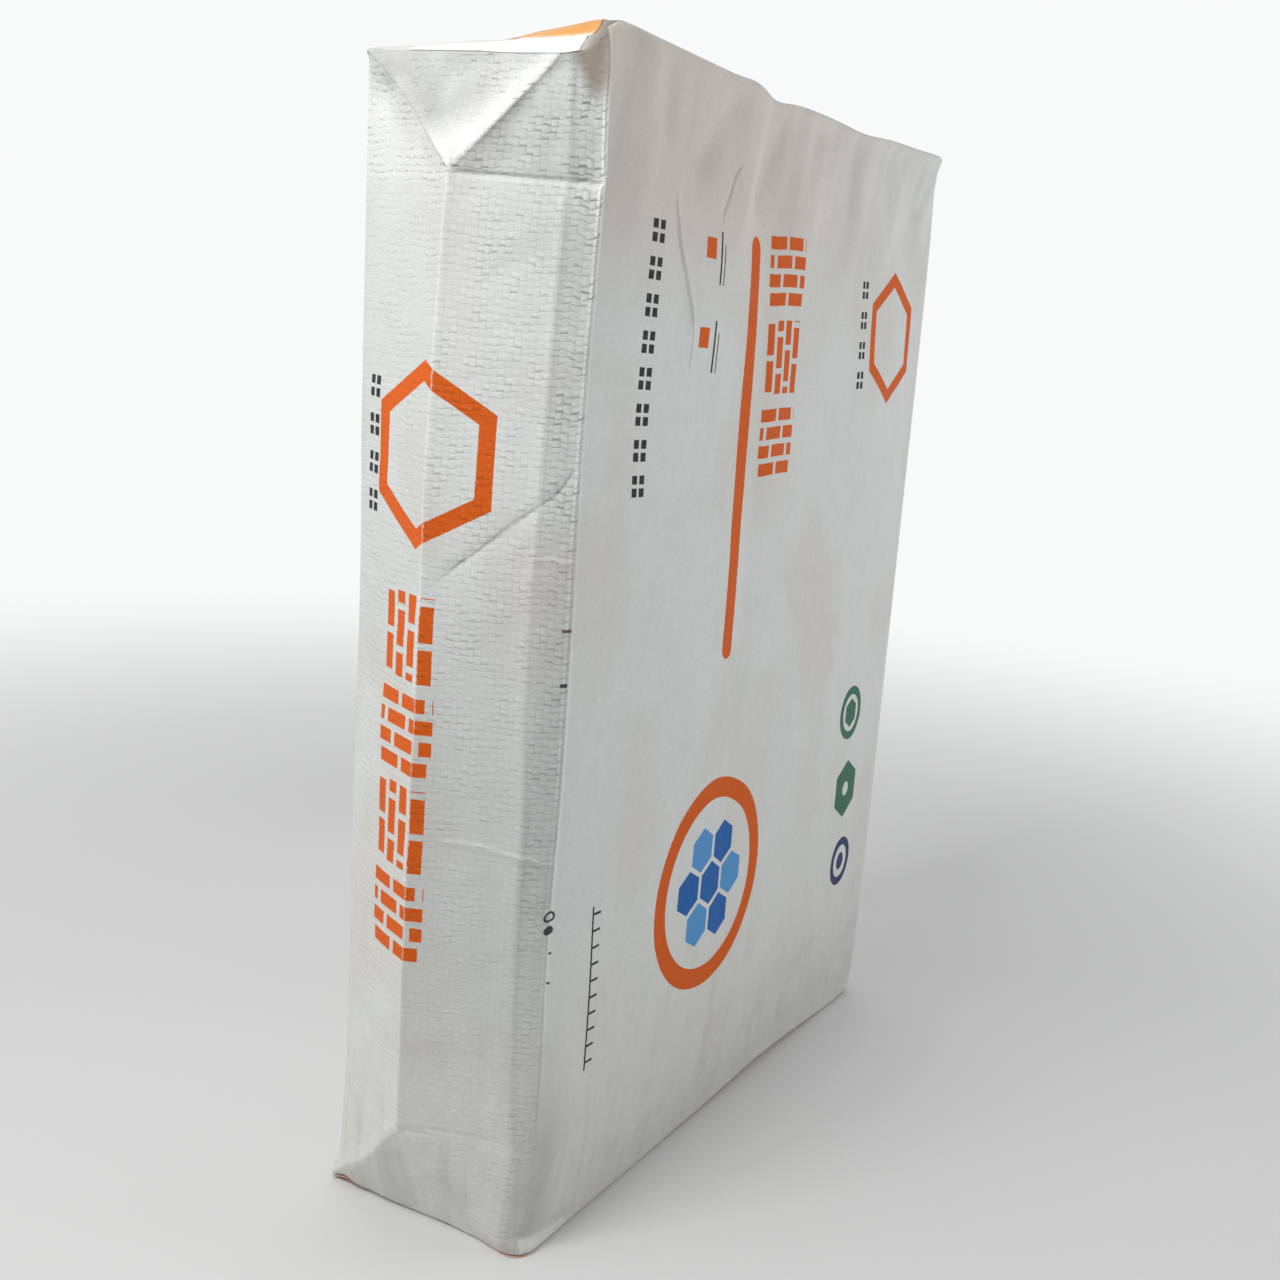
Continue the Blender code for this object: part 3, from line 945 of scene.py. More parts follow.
corners = [f(np.array(k)) for f in (edge_fl, edge_bl, edge_fr, edge_br) for k in (0.0, 1.0)]
near_corner = np.zeros(len(co))
for c in corners:
    near_corner = np.maximum(near_corner, np.exp(-((np.linalg.norm(co - c, axis=1) / 4.5) ** 2)))
co = smooth_near(co, faces, 0.6 * near_corner, 6)
co = local_moves(co)


def new_mesh(name, co_mm, faces, uv=None):
    me = bpy.data.meshes.new(name)
    co_m = to_frame(co_mm).astype(np.float32)
    me.vertices.add(len(co_m))
    me.vertices.foreach_set("co", co_m.ravel())
    n = len(faces)
    me.loops.add(3 * n)
    me.loops.foreach_set("vertex_index", faces.ravel().astype(np.int32))
    me.polygons.add(n)
    me.polygons.foreach_set("loop_start", (3 * np.arange(n)).astype(np.int32))
    me.update(calc_edges=True)
    me.validate()
    me.polygons.foreach_set("use_smooth", np.ones(len(me.polygons), bool))
    if uv is not None:
        layer = me.uv_layers.new(name="flat")
        layer.data.foreach_set("uv", (uv / 1000.0).astype(np.float32).ravel())
    ob = bpy.data.objects.new(name, me)
    scene.collection.objects.link(ob)
    return ob


bag = new_mesh("bag_skin", co, faces, face_uv)


def bake_map(uv):
    """Packs the unrolled panels into the unit square, the seen ones larger."""
    u, v = uv[..., 0], uv[..., 1]
    out = np.zeros_like(uv)
    cu = u.mean(axis=1, keepdims=True) + 0 * u
    cv = v.mean(axis=1, keepdims=True) + 0 * v
    S = 897.0

    def put(m, x, y):
        out[..., 0] = np.where(m, x / S, out[..., 0])
        out[..., 1] = np.where(m, y / S, out[..., 1])

    tube = (cv > -10) & (cv < 510)
    put(tube & (cu < 0), 2 + (u + GUSSET) * 1.3, 2 + v * 1.3)
    put(tube & (cu >= 0) & (cu < W), 162 + u * 1.3, 2 + v * 1.3)
    put(tube & (cu >= W) & (cu < U_BR), 2 + v * 1.0, 656 + (u - W) * 1.0)
    put(tube & (cu >= U_BR), 631 + (u - U_BR) * 0.74, 2 + v * 0.74)
    put(cv > 510, 631 + u * 0.74, 376 + (v - 520) * 0.74)
    put(cv < -10, 631 + u * 0.74, 461 + (v + 20 + D) * 0.74)
    return out


layer = bag.data.uv_layers.new(name="OFBake")
layer.data.foreach_set("uv", bake_map(face_uv).astype(np.float32).ravel())
bag.data.uv_layers.active = bag.data.uv_layers["flat"]


# ------------------------------------------------------------------ cover patches
def sheet_on(name, fn, place_name, to_uv, x0, x1, y0, y1, lift, thick, side, corner_fn=None, gap=3.0, skew=None):
    """A thin sheet that follows one block end: outside, inside and a rim."""
    nx, ny = int((x1 - x0) / gap), int((y1 - y0) / gap)
    X, Y = np.meshgrid(np.linspace(x0, x1, nx + 1), np.linspace(y0, y1, ny + 1))
    # round the sheet's corners a little
    cx = np.clip(np.minimum(X - x0, x1 - X), 0, 6) / 6
    cy = np.clip(np.minimum(Y - y0, y1 - Y), 0, 6) / 6
    bite = (1 - cx) ** 2 * (1 - cy) ** 2
    X = X + np.where(X - x0 < x1 - X, 1.6, -1.6) * bite
    Y = Y + np.where(Y - y0 < y1 - Y, 1.6, -1.6) * bite
    if skew is not None:
        X, Y = skew(X, Y)
    u, v = to_uv(X, Y)
    P = fn(u, v)
    for edge, rule in EDGE_RULES[place_name]:
        d, a = rule(u, v)
        P = rounded(P, edge, np.clip(d, 0, None), a)
    P = local_moves(P)
    base, far = P.copy(), P.copy()
    base[..., 2] += side * lift
    far[..., 2] += side * (lift + thick)
    if corner_fn is not None:
        base, far = corner_fn(base, X, Y), corner_fn(far, X, Y)
    n = (nx + 1) * (ny + 1)
    idx = np.arange(n).reshape(ny + 1, nx + 1)
    a, b, c, d = idx[:-1, :-1].ravel(), idx[:-1, 1:].ravel(), idx[1:, 1:].ravel(), idx[1:, :-1].ravel()
    up = np.concatenate([np.stack([a, b, c], -1), np.stack([a, c, d], -1)])
    rim = np.concatenate([idx[0, :], idx[1:, -1], idx[-1, -2::-1], idx[-2:0:-1, 0]])
    nxt = np.roll(rim, -1)
    if side > 0:
        outer = up + n
        inner = up[:, ::-1]
        wall = np.concatenate([np.stack([rim, nxt, nxt + n], -1), np.stack([rim, nxt + n, rim + n], -1)])
    else:
        outer = up[:, ::-1] + n
        inner = up
        wall = np.concatenate([np.stack([nxt, rim, nxt + n], -1), np.stack([nxt + n, rim, rim + n], -1)])
    fs = np.concatenate([outer, inner, wall])
    uvp = np.stack([X.ravel(), Y.ravel()], -1)
    uvp = np.concatenate([uvp, uvp])
    ob = new_mesh(name, np.concatenate([base.reshape(-1, 3), far.reshape(-1, 3)]), fs, uvp[fs])
    ob.data.set_sharp_from_angle(angle=math.radians(50))
    return ob


def bottom_corner(P, X, Y):
    # its corners curl a little past the folded fabric
    P = P.copy()
    g = np.exp(-(np.hypot(X - X.min(), Y - Y.min()) / 16) ** 2)
    P[..., 0] -= 1.7 * g
    P[..., 1] -= 0.7 * g
    g = np.exp(-(np.hypot(X - X.min(), Y - Y.max()) / 16) ** 2)
    P[..., 0] -= 2.0 * g
    P[..., 1] += 0.6 * g
    P[..., 2] = np.maximum(P[..., 2], -OZ + 0.02)
    return P


patch_top = sheet_on(
    "patch_top_printed", pos_top, "top", lambda X, Y: (X, 520 + Y),
    5.0, 353.0, 7.0, 106.5, 0.20, 0.35, +1, gap=2.4,
    skew=lambda X, Y: (X + 4.0 * step((Y - 30) / 25) * step((40 - X) / 36),
                       Y + np.clip(106.5 - Y, 0, 99.5) / 99.5 * 3.0 * step((X - 5) / 9) * step((60 - X) / 44)))
patch_bottom = sheet_on(
    "patch_bottom_printed", pos_bottom, "bottom", lambda X, Y: (X, -20 - Y),
    1.6, 354.5, 1.6, 107.2, 0.12, 0.4, -1, bottom_corner)


# ------------------------------------------------------------------ valve sleeve
def valve_sleeve():
    """The valve sleeve's mouth in the upper end, folded over the short edge
    as two thin lips, which lie close on the rolled edge."""
    ys = np.linspace(11.5, 88.0, 64)
    w = (ys - ys[0]) / (ys[-1] - ys[0])
    # drop of the outer lip below the short edge, shorter towards both ends
    drop = curve([0, 0.04, 0.12, 0.35, 0.62, 0.9, 1.0], [0.1, 0.6, 0.95, 0.8, 0.35, 0.25, 0.15], w)
    drop = drop + 0.12 * noise(ys / 7.0, np.zeros_like(ys), 61)
    inner = drop - 0.35 - 0.2 * step((0.45 - w) / 0.4)
    over = place("top", pos_top, np.full_like(ys, 7.5), 520 + ys)
    mid = place("top", pos_top, np.full_like(ys, 3.4), 520 + ys)
    low = place("top", pos_top, np.full_like(ys, 1.2), 520 + ys)
    rim = place("top", pos_top, np.full_like(ys, 0.05), 520 + ys)

    def at(base, dx, dz):
        p = base.copy()
        p[:, 0] += dx
        p[:, 2] += dz
        return p

    def hang(d, dx):
        d = np.maximum(d, 0.05)
        p = place("left", pos_left, -ys * GUSSET / D, H - d)
        p[:, 0] -= dx
        return p

    rows = [
        at(over, 0.0, 0.05), at(mid, -0.08, 0.12), at(low, -0.22, 0.12), at(rim, -0.38, 0.05),
        hang(drop * 0.55, 0.50), hang(drop - 0.10, 0.56), hang(drop, 0.42), hang(drop - 0.08, 0.30),
        hang(inner + 0.14, 0.26), hang(inner + 0.05, 0.15), hang(inner - 0.10, 0.07),
        at(rim, -0.05, 0.02), at(low, -0.02, 0.02), at(mid, 0.0, 0.03), at(over, 0.0, 0.02),
    ]
    P = np.stack(rows)                     # (ring, along)
    m, n = P.shape[:2]
    idx = np.arange(m * n).reshape(m, n)
    fs = []
    for i in range(m):
        j = (i + 1) % m
        a, b, c, d = idx[i, :-1], idx[i, 1:], idx[j, 1:], idx[j, :-1]
        fs += [np.stack([a, c, b], -1), np.stack([a, d, c], -1)]
    capa = [idx[k, 0] for k in range(m)]
    capb = [idx[k, -1] for k in range(m)]
    for k in range(m // 2):
        j = m - 1 - k
        if j - 1 > k + 1:
            fs.append(np.array([[capa[k], capa[k + 1], capa[j]], [capa[k + 1], capa[j - 1], capa[j]]]))
            fs.append(np.array([[capb[k], capb[j], capb[k + 1]], [capb[k + 1], capb[j], capb[j - 1]]]))
        elif j - 1 == k + 1:
            fs.append(np.array([[capa[k], capa[k + 1], capa[j]]]))
            fs.append(np.array([[capb[k], capb[j], capb[k + 1]]]))
    fs = np.concatenate(fs)
    uvp = np.stack([np.repeat(np.arange(m) * 1.6, n), np.tile(ys, m)], -1)
    ob = new_mesh("valve_sleeve_lips", P.reshape(-1, 3), fs, uvp[fs])
    ob.data.set_sharp_from_angle(angle=math.radians(60))
    return ob


sleeve = valve_sleeve()


# ------------------------------------------------------------------ shader helper
class Tree:
    """Short sums in a material's node tree."""

    def __init__(self, name):
        self.mat = bpy.data.materials.new(name)
        self.mat.use_nodes = True
        self.nodes = self.mat.node_tree.nodes
        self.links = self.mat.node_tree.links
        self.shader = self.nodes["Principled BSDF"]
        self.n = 0

    def node(self, kind, **kw):
        nd = self.nodes.new(kind)
        nd.location = (-200 - 180 * (self.n % 14), 400 - 160 * (self.n // 14))
        self.n += 1
        for k, val in kw.items():
            setattr(nd, k, val)
        return nd

    def put(self, sock, val):
        if isinstance(val, Val):
            self.links.new(val.s, sock)
        elif isinstance(val, bpy.types.NodeSocket):
            self.links.new(val, sock)
        else:
            sock.default_value = val

    def math(self, op, *args, clamp=False):
        if all(isinstance(a, (int, float)) for a in args) and op in PLAIN and not clamp:
            return PLAIN[op](*args)
        nd = self.node("ShaderNodeMath", operation=op, use_clamp=clamp)
        for i, a in enumerate(args):
            self.put(nd.inputs[i], a)
        return Val(self, nd.outputs[0])


PLAIN = {
    "ADD": lambda a, b: a + b, "SUBTRACT": lambda a, b: a - b,
    "MULTIPLY": lambda a, b: a * b, "DIVIDE": lambda a, b: a / b,
}


class Val:
    def __init__(self, tree, sock):
        self.t, self.s = tree, sock

    def __add__(self, o):
        return self.t.math("ADD", self, o)

    __radd__ = __add__

    def __sub__(self, o):
        return self.t.math("SUBTRACT", self, o)

    def __rsub__(self, o):
        return self.t.math("SUBTRACT", o, self)

    def __mul__(self, o):
        return self.t.math("MULTIPLY", self, o)

    __rmul__ = __mul__

    def __truediv__(self, o):
        return self.t.math("DIVIDE", self, o)

    def __neg__(self):
        return self.t.math("MULTIPLY", self, -1.0)


def t_abs(a):
    return a.t.math("ABSOLUTE", a)


def t_max(a, b):
    tr = a.t if isinstance(a, Val) else b.t
    return tr.math("MAXIMUM", a, b)


def t_min(a, b):
    tr = a.t if isinstance(a, Val) else b.t
    return tr.math("MINIMUM", a, b)


def t_floor(a):
    return a.t.math("FLOOR", a)


def t_cos(a):
    return a.t.math("COSINE", a)


def t_len(a, b):
    return a.t.math("SQRT", a * a + b * b)


def t_wrap(a, lo, hi):
    return a.t.math("WRAP", a, hi, lo)


def t_clamp(a):
    return a.t.math("ADD", a, 0.0, clamp=True)


def inside(d, soft=0.14):
    """1 where the distance d is below 0, with a soft edge."""
    return t_clamp(0.5 - d / (2 * soft))


def smooth(t, x, a, b, lo=0.0, hi=1.0):
    nd = t.node("ShaderNodeMapRange", interpolation_type="SMOOTHSTEP")
    t.put(nd.inputs["Value"], x)
    for k, q in (("From Min", a), ("From Max", b), ("To Min", lo), ("To Max", hi)):
        nd.inputs[k].default_value = q
    return Val(t, nd.outputs["Result"])


def d_box(x, y, cx, cy, hx, hy, r=0.0):
    ax, ay = t_abs(x - cx) - (hx - r), t_abs(y - cy) - (hy - r)
    if r == 0:
        return t_max(ax, ay)
    return t_len(t_max(ax, 0.0), t_max(ay, 0.0)) - r


def d_disc(x, y, cx, cy, r):
    return t_len(x - cx, y - cy) - r


def d_hex(x, y, cx, cy, r):
    """Hexagon with its points up and down; r is to a flat side."""
    ax, ay = t_abs(x - cx), t_abs(y - cy)
    return t_max(ax, ax * 0.5 + ay * 0.8660254) - r


def n_noise(t, vec, scale, detail=2.0, rough=0.5):
    nd = t.node("ShaderNodeTexNoise", noise_dimensions="2D")
    if vec is not None:
        t.links.new(vec, nd.inputs["Vector"])
    nd.inputs["Scale"].default_value = scale
    nd.inputs["Detail"].default_value = detail
    nd.inputs["Roughness"].default_value = rough
    return Val(t, nd.outputs["Fac"])


def combine(t, x, y, seed=0.0):
    """A point of the plane for a noise; the seed shifts it to another place."""
    nd = t.node("ShaderNodeCombineXYZ")
    t.put(nd.inputs[0], x + seed * 83.7 if seed else x)
    t.put(nd.inputs[1], y - seed * 41.9 if seed else y)
    return nd.outputs[0]


def white(t, vec):
    nd = t.node("ShaderNodeTexWhiteNoise", noise_dimensions="2D")
    t.links.new(vec, nd.inputs["Vector"])
    return Val(t, nd.outputs["Value"])


def mix(t, fac, a, b):
    nd = t.node("ShaderNodeMix", data_type="RGBA")
    t.put(nd.inputs[0], fac)
    for sock, q in ((nd.inputs[6], a), (nd.inputs[7], b)):
        if isinstance(q, tuple):
            sock.default_value = (*q, 1.0)
        else:
            t.put(sock, q)
    return nd.outputs[2]


def flat_uv(t):
    """The unrolled fabric's coordinates, in millimetres."""
    nd = t.node("ShaderNodeUVMap", uv_map="flat")
    sep = t.node("ShaderNodeSeparateXYZ")
    t.links.new(nd.outputs[0], sep.inputs[0])
    return Val(t, sep.outputs[0]) * 1000.0, Val(t, sep.outputs[1]) * 1000.0


PITCH = 2.88      # one tape of the weave, mm


def weave(t, u, v, wob, pitch=PITCH):
    """Plain weave of flat tapes under a film: a height in 0..1, with a pocket
    where each upright tape dips under a cross tape.  Also returns a soft low
    noise, a random value for each pocket and the place up one pair of tapes."""
    low = n_noise(t, combine(t, u, v * 1.4), 0.062, 1.0, 0.5) - 0.5
    uu = u / pitch - low * 0.9 * wob
    vv = v / pitch + low * 2.1 * wob
    i = t_floor(uu)
    fu = uu - i - 0.5
    k = vv + i
    q = t_wrap(k, 0.0, 2.0)                      # 0..2 up one pair of cross tapes
    j = t_floor(k * 0.5)
    off = t_abs(q - 0.5)                         # under 0.5: the cross tape is on top
    off = t_min(off, 2.0 - off)
    on_top = smooth(t, off, 0.40, 0.60, 1.0, 0.0)
    arch = (1.0 - off) * 2.0
    upright = 1.0 - arch * arch * 0.92
    across = 0.60 - fu * fu * 0.8
    high = upright + (across - upright) * on_top
    cell = white(t, combine(t, i, j))
    return high, low, cell, q


# ------------------------------------------------------------------ the tube's fabric
ORANGE = (0.66, 0.102, 0.0005)
BLUE = (0.012, 0.115, 0.40)
NAVY = (0.022, 0.045, 0.13)
GREEN = (0.045, 0.155, 0.105)
BLACK = (0.020, 0.021, 0.024)


def bricks(t, x, y, x0, y0, size, pitch, count, long, row, gap):
    """A column of square tiles of bonded bars, lying in one tile, upright in the
    next."""
    k = (y - y0) / pitch
    n = t_floor(k)
    ty = (k - n) * pitch
    tx = x - x0
    flip = t_wrap(n, 0.0, 2.0)
    a = tx + (ty - tx) * flip
    b = ty + (tx - ty) * flip
    r = t_floor(b / row)
    bx = t_abs(t_wrap(a + r * (long * 0.37), 0.0, long) - long / 2) - (long - gap) / 2
    by = t_abs(b - (r + 0.5) * row) - (row - gap) / 2
    frame_x = t_abs(tx - size / 2) - size / 2
    frame_y = t_abs(ty - size / 2) - size / 2
    ends = t_abs(k - count / 2.0) - count / 2.0
    return t_max(t_max(t_max(bx, by), t_max(frame_x, frame_y)), ends * pitch)


def tube_material(side):
    """The coated fabric with its print: of the narrow sides and the ends, or of
    the wide faces."""
    t = Tree("woven_pp_narrow" if side else "woven_pp_wide")
    u, v = flat_uv(t)
    lx = t_wrap(u + GUSSET, 0.0, U_BR) - GUSSET       # print repeats on the far half
    jit = n_noise(t, combine(t, u, v, 9.0), 0.8, 1.0, 0.6) - 0.5
    px = lx + jit * 0.35
    py = v - jit * 0.35

    # plain black marks of four small squares each
    def marks_column(cx, y0, pitch, count, half_w, half_h):
        k = t_wrap(py - y0, 0.0, pitch) - pitch / 2
        box = t_max(t_abs(t_abs(px - cx) - half_w * 0.53) - half_w * 0.37,
                    t_abs(t_abs(k) - half_h * 0.53) - half_h * 0.37)
        cap = t_abs(py - (y0 + pitch * count / 2)) - pitch * count / 2
        return t_max(box, cap)

    # the weave's rows stay level over the strip beside the near edge
    level = v + smooth(t, u, -10.0, 1.0) * v * 0.0194
    high, low_n, cell, q_row = weave(t, u, level, 0.48)
    marks = t_abs(d_disc(lx, v, -0.6, 154.2, 1.9)) - 0.5
    marks = t_min(marks, d_disc(lx, v, -0.6, 148.2, 2.0))
    if side:
        # gathered over the narrow sides
        side_l = smooth(t, u, -1.5, 0.2, 1.0, 0.0)
        side_r = smooth(t, t_abs(u - (U_FR + HALF)), HALF - 1.0, HALF + 1.0, 1.0, 0.0)
        on_side = t_max(side_l, side_r)
        near_strip = smooth(t, t_abs(u + 6.2), 5.2, 7.0, 1.0, 0.0)
        # a hexagon and a column of tiles across the ridge
        orange = t_abs(d_hex(px, py, -66.0, 343.0, 29.0)) - 3.6
        orange = t_min(orange, bricks(t, px, py, -89.0, 129.0, 36.0, 40.5, 4, 18.0, 9.0, 3.0))
        bars = marks_column(-104.0, 311.5, 15.8, 4, 4.6, 4.9)
        # small register marks by the near corner
        marks = t_min(marks, d_box(lx, level, -1.9, 256.5, 1.2, 0.8))
        brown = d_box(lx, level, -2.0, 279.0, 1.6, 0.7)
    else:
        orange = bricks(t, px, py, 149.0, 329.0, 34.0, 39.5, 3, 17.0, 8.5, 2.6)
        orange = t_min(orange, d_box(px, py, 131.0, 340.0, 5.2, 96.0, 5.2))
        ring = t_abs(d_disc(px, py, 131.0, 134.0, 47.5)) - 5.0
        orange = t_min(orange, ring)
        orange = t_min(orange, t_abs(d_hex(px, py, 304.0, 398.0, 27.0)) - 3.4)
        sq = t_wrap(py - 371.0, 0.0, 37.0) - 18.5
        orange = t_min(orange, t_max(d_box(px, sq, 85.0, 0.0, 4.3, 4.3), t_abs(py - 408.0) - 35.0))

        # honeycomb inside the ring
        hx, hy = px - 131.0, py - 134.0
        blue = t_min(d_hex(hx, hy, 0.0, 0.0, 9.6), d_hex(hx, hy, -21.6, 0.0, 9.6))
        blue = t_min(blue, d_hex(hx, t_abs(hy), 10.8, 18.7, 9.6))
        pale = t_min(d_hex(hx, hy, 21.6, 0.0, 9.6), d_hex(hx, t_abs(hy), -10.8, 18.7, 9.6))
        far_disc = t_len(px - 307.0, py - 97.0)
        navy = t_min(t_abs(far_disc - 12.2) - 2.4, far_disc - 5.2)
        green = t_abs(d_disc(px, py, 299.0, 188.0, 13.2)) - 2.4
        green = t_min(green, d_hex(px, py, 299.0, 188.0, 7.4))
        green = t_min(green, t_max(d_hex(px, py, 303.0, 142.0, 15.0), 4.2 - d_disc(px, py, 303.0, 142.0, 0.0)))

        bars = marks_column(40.0, 320.5, 14.4, 8, 5.2, 4.9)
        bars = t_min(bars, marks_column(262.0, 368.0, 15.5, 4, 4.4, 4.9))
        # thin lines and a ruled scale
        k4 = t_wrap(py - 372.0, 0.0, 37.0)
        line = d_box(px, k4, 94.5, 14.0, 0.75, 11.0)
        line = t_min(line, d_box(px, k4, 97.8, 11.5, 0.4, 8.5))
        bars = t_min(bars, t_max(line, t_abs(py - 407.0) - 34.0))
        k5 = t_wrap(py - 76.0, 0.0, 7.5) - 3.75
        rule = t_max(d_box(px, k5, 30.5, 0.0, 2.6, 0.55), t_abs(py - 113.5) - 37.4)
        rule = t_min(rule, d_box(px, py, 27.4, 113.5, 0.6, 37.4))
        bars = t_min(bars, rule)
        marks = t_min(marks, d_box(lx, t_abs(v - 131.2), 0.6, 6.6, 0.7, 0.5))

    # wear: ink is rubbed thin along the ridge and pinholed by the weave
    worn = n_noise(t, combine(t, u, v * 0.7, 31.0), 0.85, 2.0, 0.65)
    rub = smooth(t, t_abs(lx - U_RIDGE) + (worn - 0.47) * 1.5, 0.0, 0.55, 0.25, 1.0)
    pin = smooth(t, worn, 0.30, 0.42, 0.93, 1.0)
    hold = rub * pin

    # base: white tapes under a film, each a little different
    broad = n_noise(t, combine(t, u, v * 0.8, 40.0), 0.013, 1.0, 0.5)
    # warmer and a little darker towards the upper front corner
    tube = smooth(t, v, 511.0, 509.0) * smooth(t, v, -11.0, -9.0)
    upper_warm = smooth(t, u, -0.5, 1.0) * smooth(t, u, 440.0, 80.0) * smooth(t, v, 385.0, 455.0) * tube
    warm = t_max(smooth(t, broad, 0.46, 0.66) * 0.45, upper_warm)
    base = mix(t, warm, (0.705, 0.728, 0.708), (0.672, 0.616, 0.566))
    if side:
        # painted shade: the near half of the side darker below mid-height, fading out towards the floor, and the far
        # half darker in its upper part, under the fold level with the tip
        side_near = smooth(t, u, -61.0, -60.0) * smooth(t, u, 1.0, -1.0)
        far_half = smooth(t, u, -61.0, -62.0)
        drop = side_near * smooth(t, v, 360.0, 190.0) * 0.13 * smooth(t, v, 45.0, 150.0)
        drop = drop + far_half * smooth(t, v, 454.0, 446.0) * (
            smooth(t, v, 50.0, 160.0) * 0.07 + smooth(t, v, 180.0, 300.0) * 0.07)
        # painted shade over the strip between the lap seam and the near edge, strongest over its middle
        strip_in = smooth(t, u, -14.5, -13.0) * smooth(t, u, 1.0, -1.0) * tube
        drop = drop + strip_in * (smooth(t, v, 120.0, 190.0) * 0.11 + 0.02 - smooth(t, v, 420.0, 456.0) * 0.10)
        # painted shade in a narrow band along the near edge, close to the floor
        drop = drop + smooth(t, u + 2.0 + v * 0.13, -0.5, 0.5) * smooth(t, v, 90.0, 60.0) * smooth(t, u, 1.0, 0.0) * 0.08
        up = 500.0 - v
        over = smooth(t, v, 451.0, 454.0) * tube
        # the upper triangle is a second layer: a painted highlight over it, and painted shade in its hollow
        run = (-60.5 - u) * (1.0 / HALF)
        bent = smooth(t, u, -60.5, -82.5)
        bow = t.math("DIVIDE", 1.0, 1.0 - bent * 0.16)
        left_q = (t.math("POWER", t_clamp(1.0 - run), bow) * TIP_TOP - up) * 0.79
        right_q = (TIP_TOP - (u + 60.5) * (TIP_TOP / NEAR_END) - up) * 0.65
        tri_q = t_min(left_q, right_q)
        tri = smooth(t, tri_q, -0.35, 0.35) * over
        patchy_grey = smooth(t, n_noise(t, combine(t, u, v, 71.0), 0.055, 1.0, 0.5), 0.36, 0.60)
        mid_tri = smooth(t, t_abs(u + 80.0) * 0.8 + up * 1.1, 56.0, 26.0) * tri
        drop = drop + mid_tri * (0.31 + 0.10 * patchy_grey) - tri * 0.15
        # painted shade beside the triangle's folds, and a thin painted shadow just outside them
        beside = smooth(t, tri_q, -15.0, -2.0) * (1.0 - tri) * over * smooth(t, u, 2.0, -6.0)
        drop = drop + beside * (0.06 + 0.10 * patchy_grey) + smooth(t, t_abs(tri_q + 0.7), 0.9, 0.2) * over * 0.12
        # painted shade outside the triangle, above the fold level with the tip, more of it on the near half
        right_up = (1.0 - tri) * over * smooth(t, u, 0.0, -1.0)
        drop = drop + right_up * (smooth(t, u, -62.0, -56.0) * 0.21 + smooth(t, u, -70.0, -90.0) * 0.06)
        # pressed lines: the fold level with the tip, painted shade in its bend and a painted highlight below
        fold_v = level - 453.0
        on_fold = smooth(t, u, -60.0, -56.0) * smooth(t, u, 1.5, -0.5)
        drop = drop + smooth(t, t_abs(fold_v - 0.3), 1.0, 0.3) * on_fold * 0.22
        drop = drop - smooth(t, t_abs(fold_v + 1.9), 1.5, 0.3) * on_fold * 0.08
        # the lower triangle gets painted shade, and the half just above its folds a little painted highlight
        low_bow = t.math("DIVIDE", 1.0, 1.0 - bent * 0.17)
        low_q = t.math("POWER", t_clamp(1.0 - run), low_bow) * TIP_BOT - v
        left_low = far_half * smooth(t, v, -1.0, 1.0)
        drop = drop + smooth(t, low_q, -0.6, 0.6) * left_low * 0.05
        drop = drop - smooth(t, low_q, -14.0, -2.0) * smooth(t, low_q, 0.6, -0.6) * left_low * 0.06
        # painted shade in the dent beside the left diagonal, under the back corner
        left_dent = t_len((u + 109.0) * 0.9, (v - 490.5) * 1.25)
        drop = drop + smooth(t, left_dent, 13.0, 4.0) * 0.09
        # a painted highlight on the pressed near edge beside the folded corner, and along the corner's upper end
        drop = drop - smooth(t, u, -3.4, -1.6) * smooth(t, u, 1.8, 0.2) * smooth(t, v, 415.0, 440.0) * smooth(t, v, 494.0, 480.0) * 0.13
        drop = drop - smooth(t, t_abs(u + 0.2), 1.6, 0.5) * smooth(t, v, 478.0, 490.0) * tube * 0.40
        # painted shade in the long diagonal crease with a painted highlight beside it, and a painted highlight on the
        # short one that ends the seam's slack part, with painted shade below it
        diag = (v - 340.0 - (u + 2.0) * 0.868) * 0.755 + low_n * 1.6
        on_diag = smooth(t, u, -57.0, -50.0) * smooth(t, u, -2.0, -5.0)
        drop = drop + smooth(t, t_abs(diag), 0.95, 0.25) * on_diag * (0.12 + cell * 0.26)
        drop = drop - smooth(t, t_abs(diag + 1.7), 1.4, 0.4) * on_diag * 0.05
        short_v = level - 307.0 + low_n * 2.0
        on_short = smooth(t, u, -16.5, -14.5) * smooth(t, u, -0.5, -2.5)
        drop = drop - smooth(t, t_abs(short_v - 0.4), 1.3, 0.3) * on_short * 0.13
        drop = drop + smooth(t, t_abs(short_v + 2.2), 1.8, 0.5) * on_short * 0.08
        # painted highlight along the low crest, with painted shade below it
        crest = level - 185.8 + t_max(u + 31.0, 0.0) * 0.165 + low_n * 1.2
        on_crest = smooth(t, u, -50.0, -42.0) * smooth(t, u, 0.5, -1.0)
        drop = drop - smooth(t, t_abs(crest), 1.3, 0.35) * on_crest * (0.07 + cell * 0.10)
        drop = drop + smooth(t, t_abs(crest + 2.4), 1.9, 0.5) * on_crest * 0.04
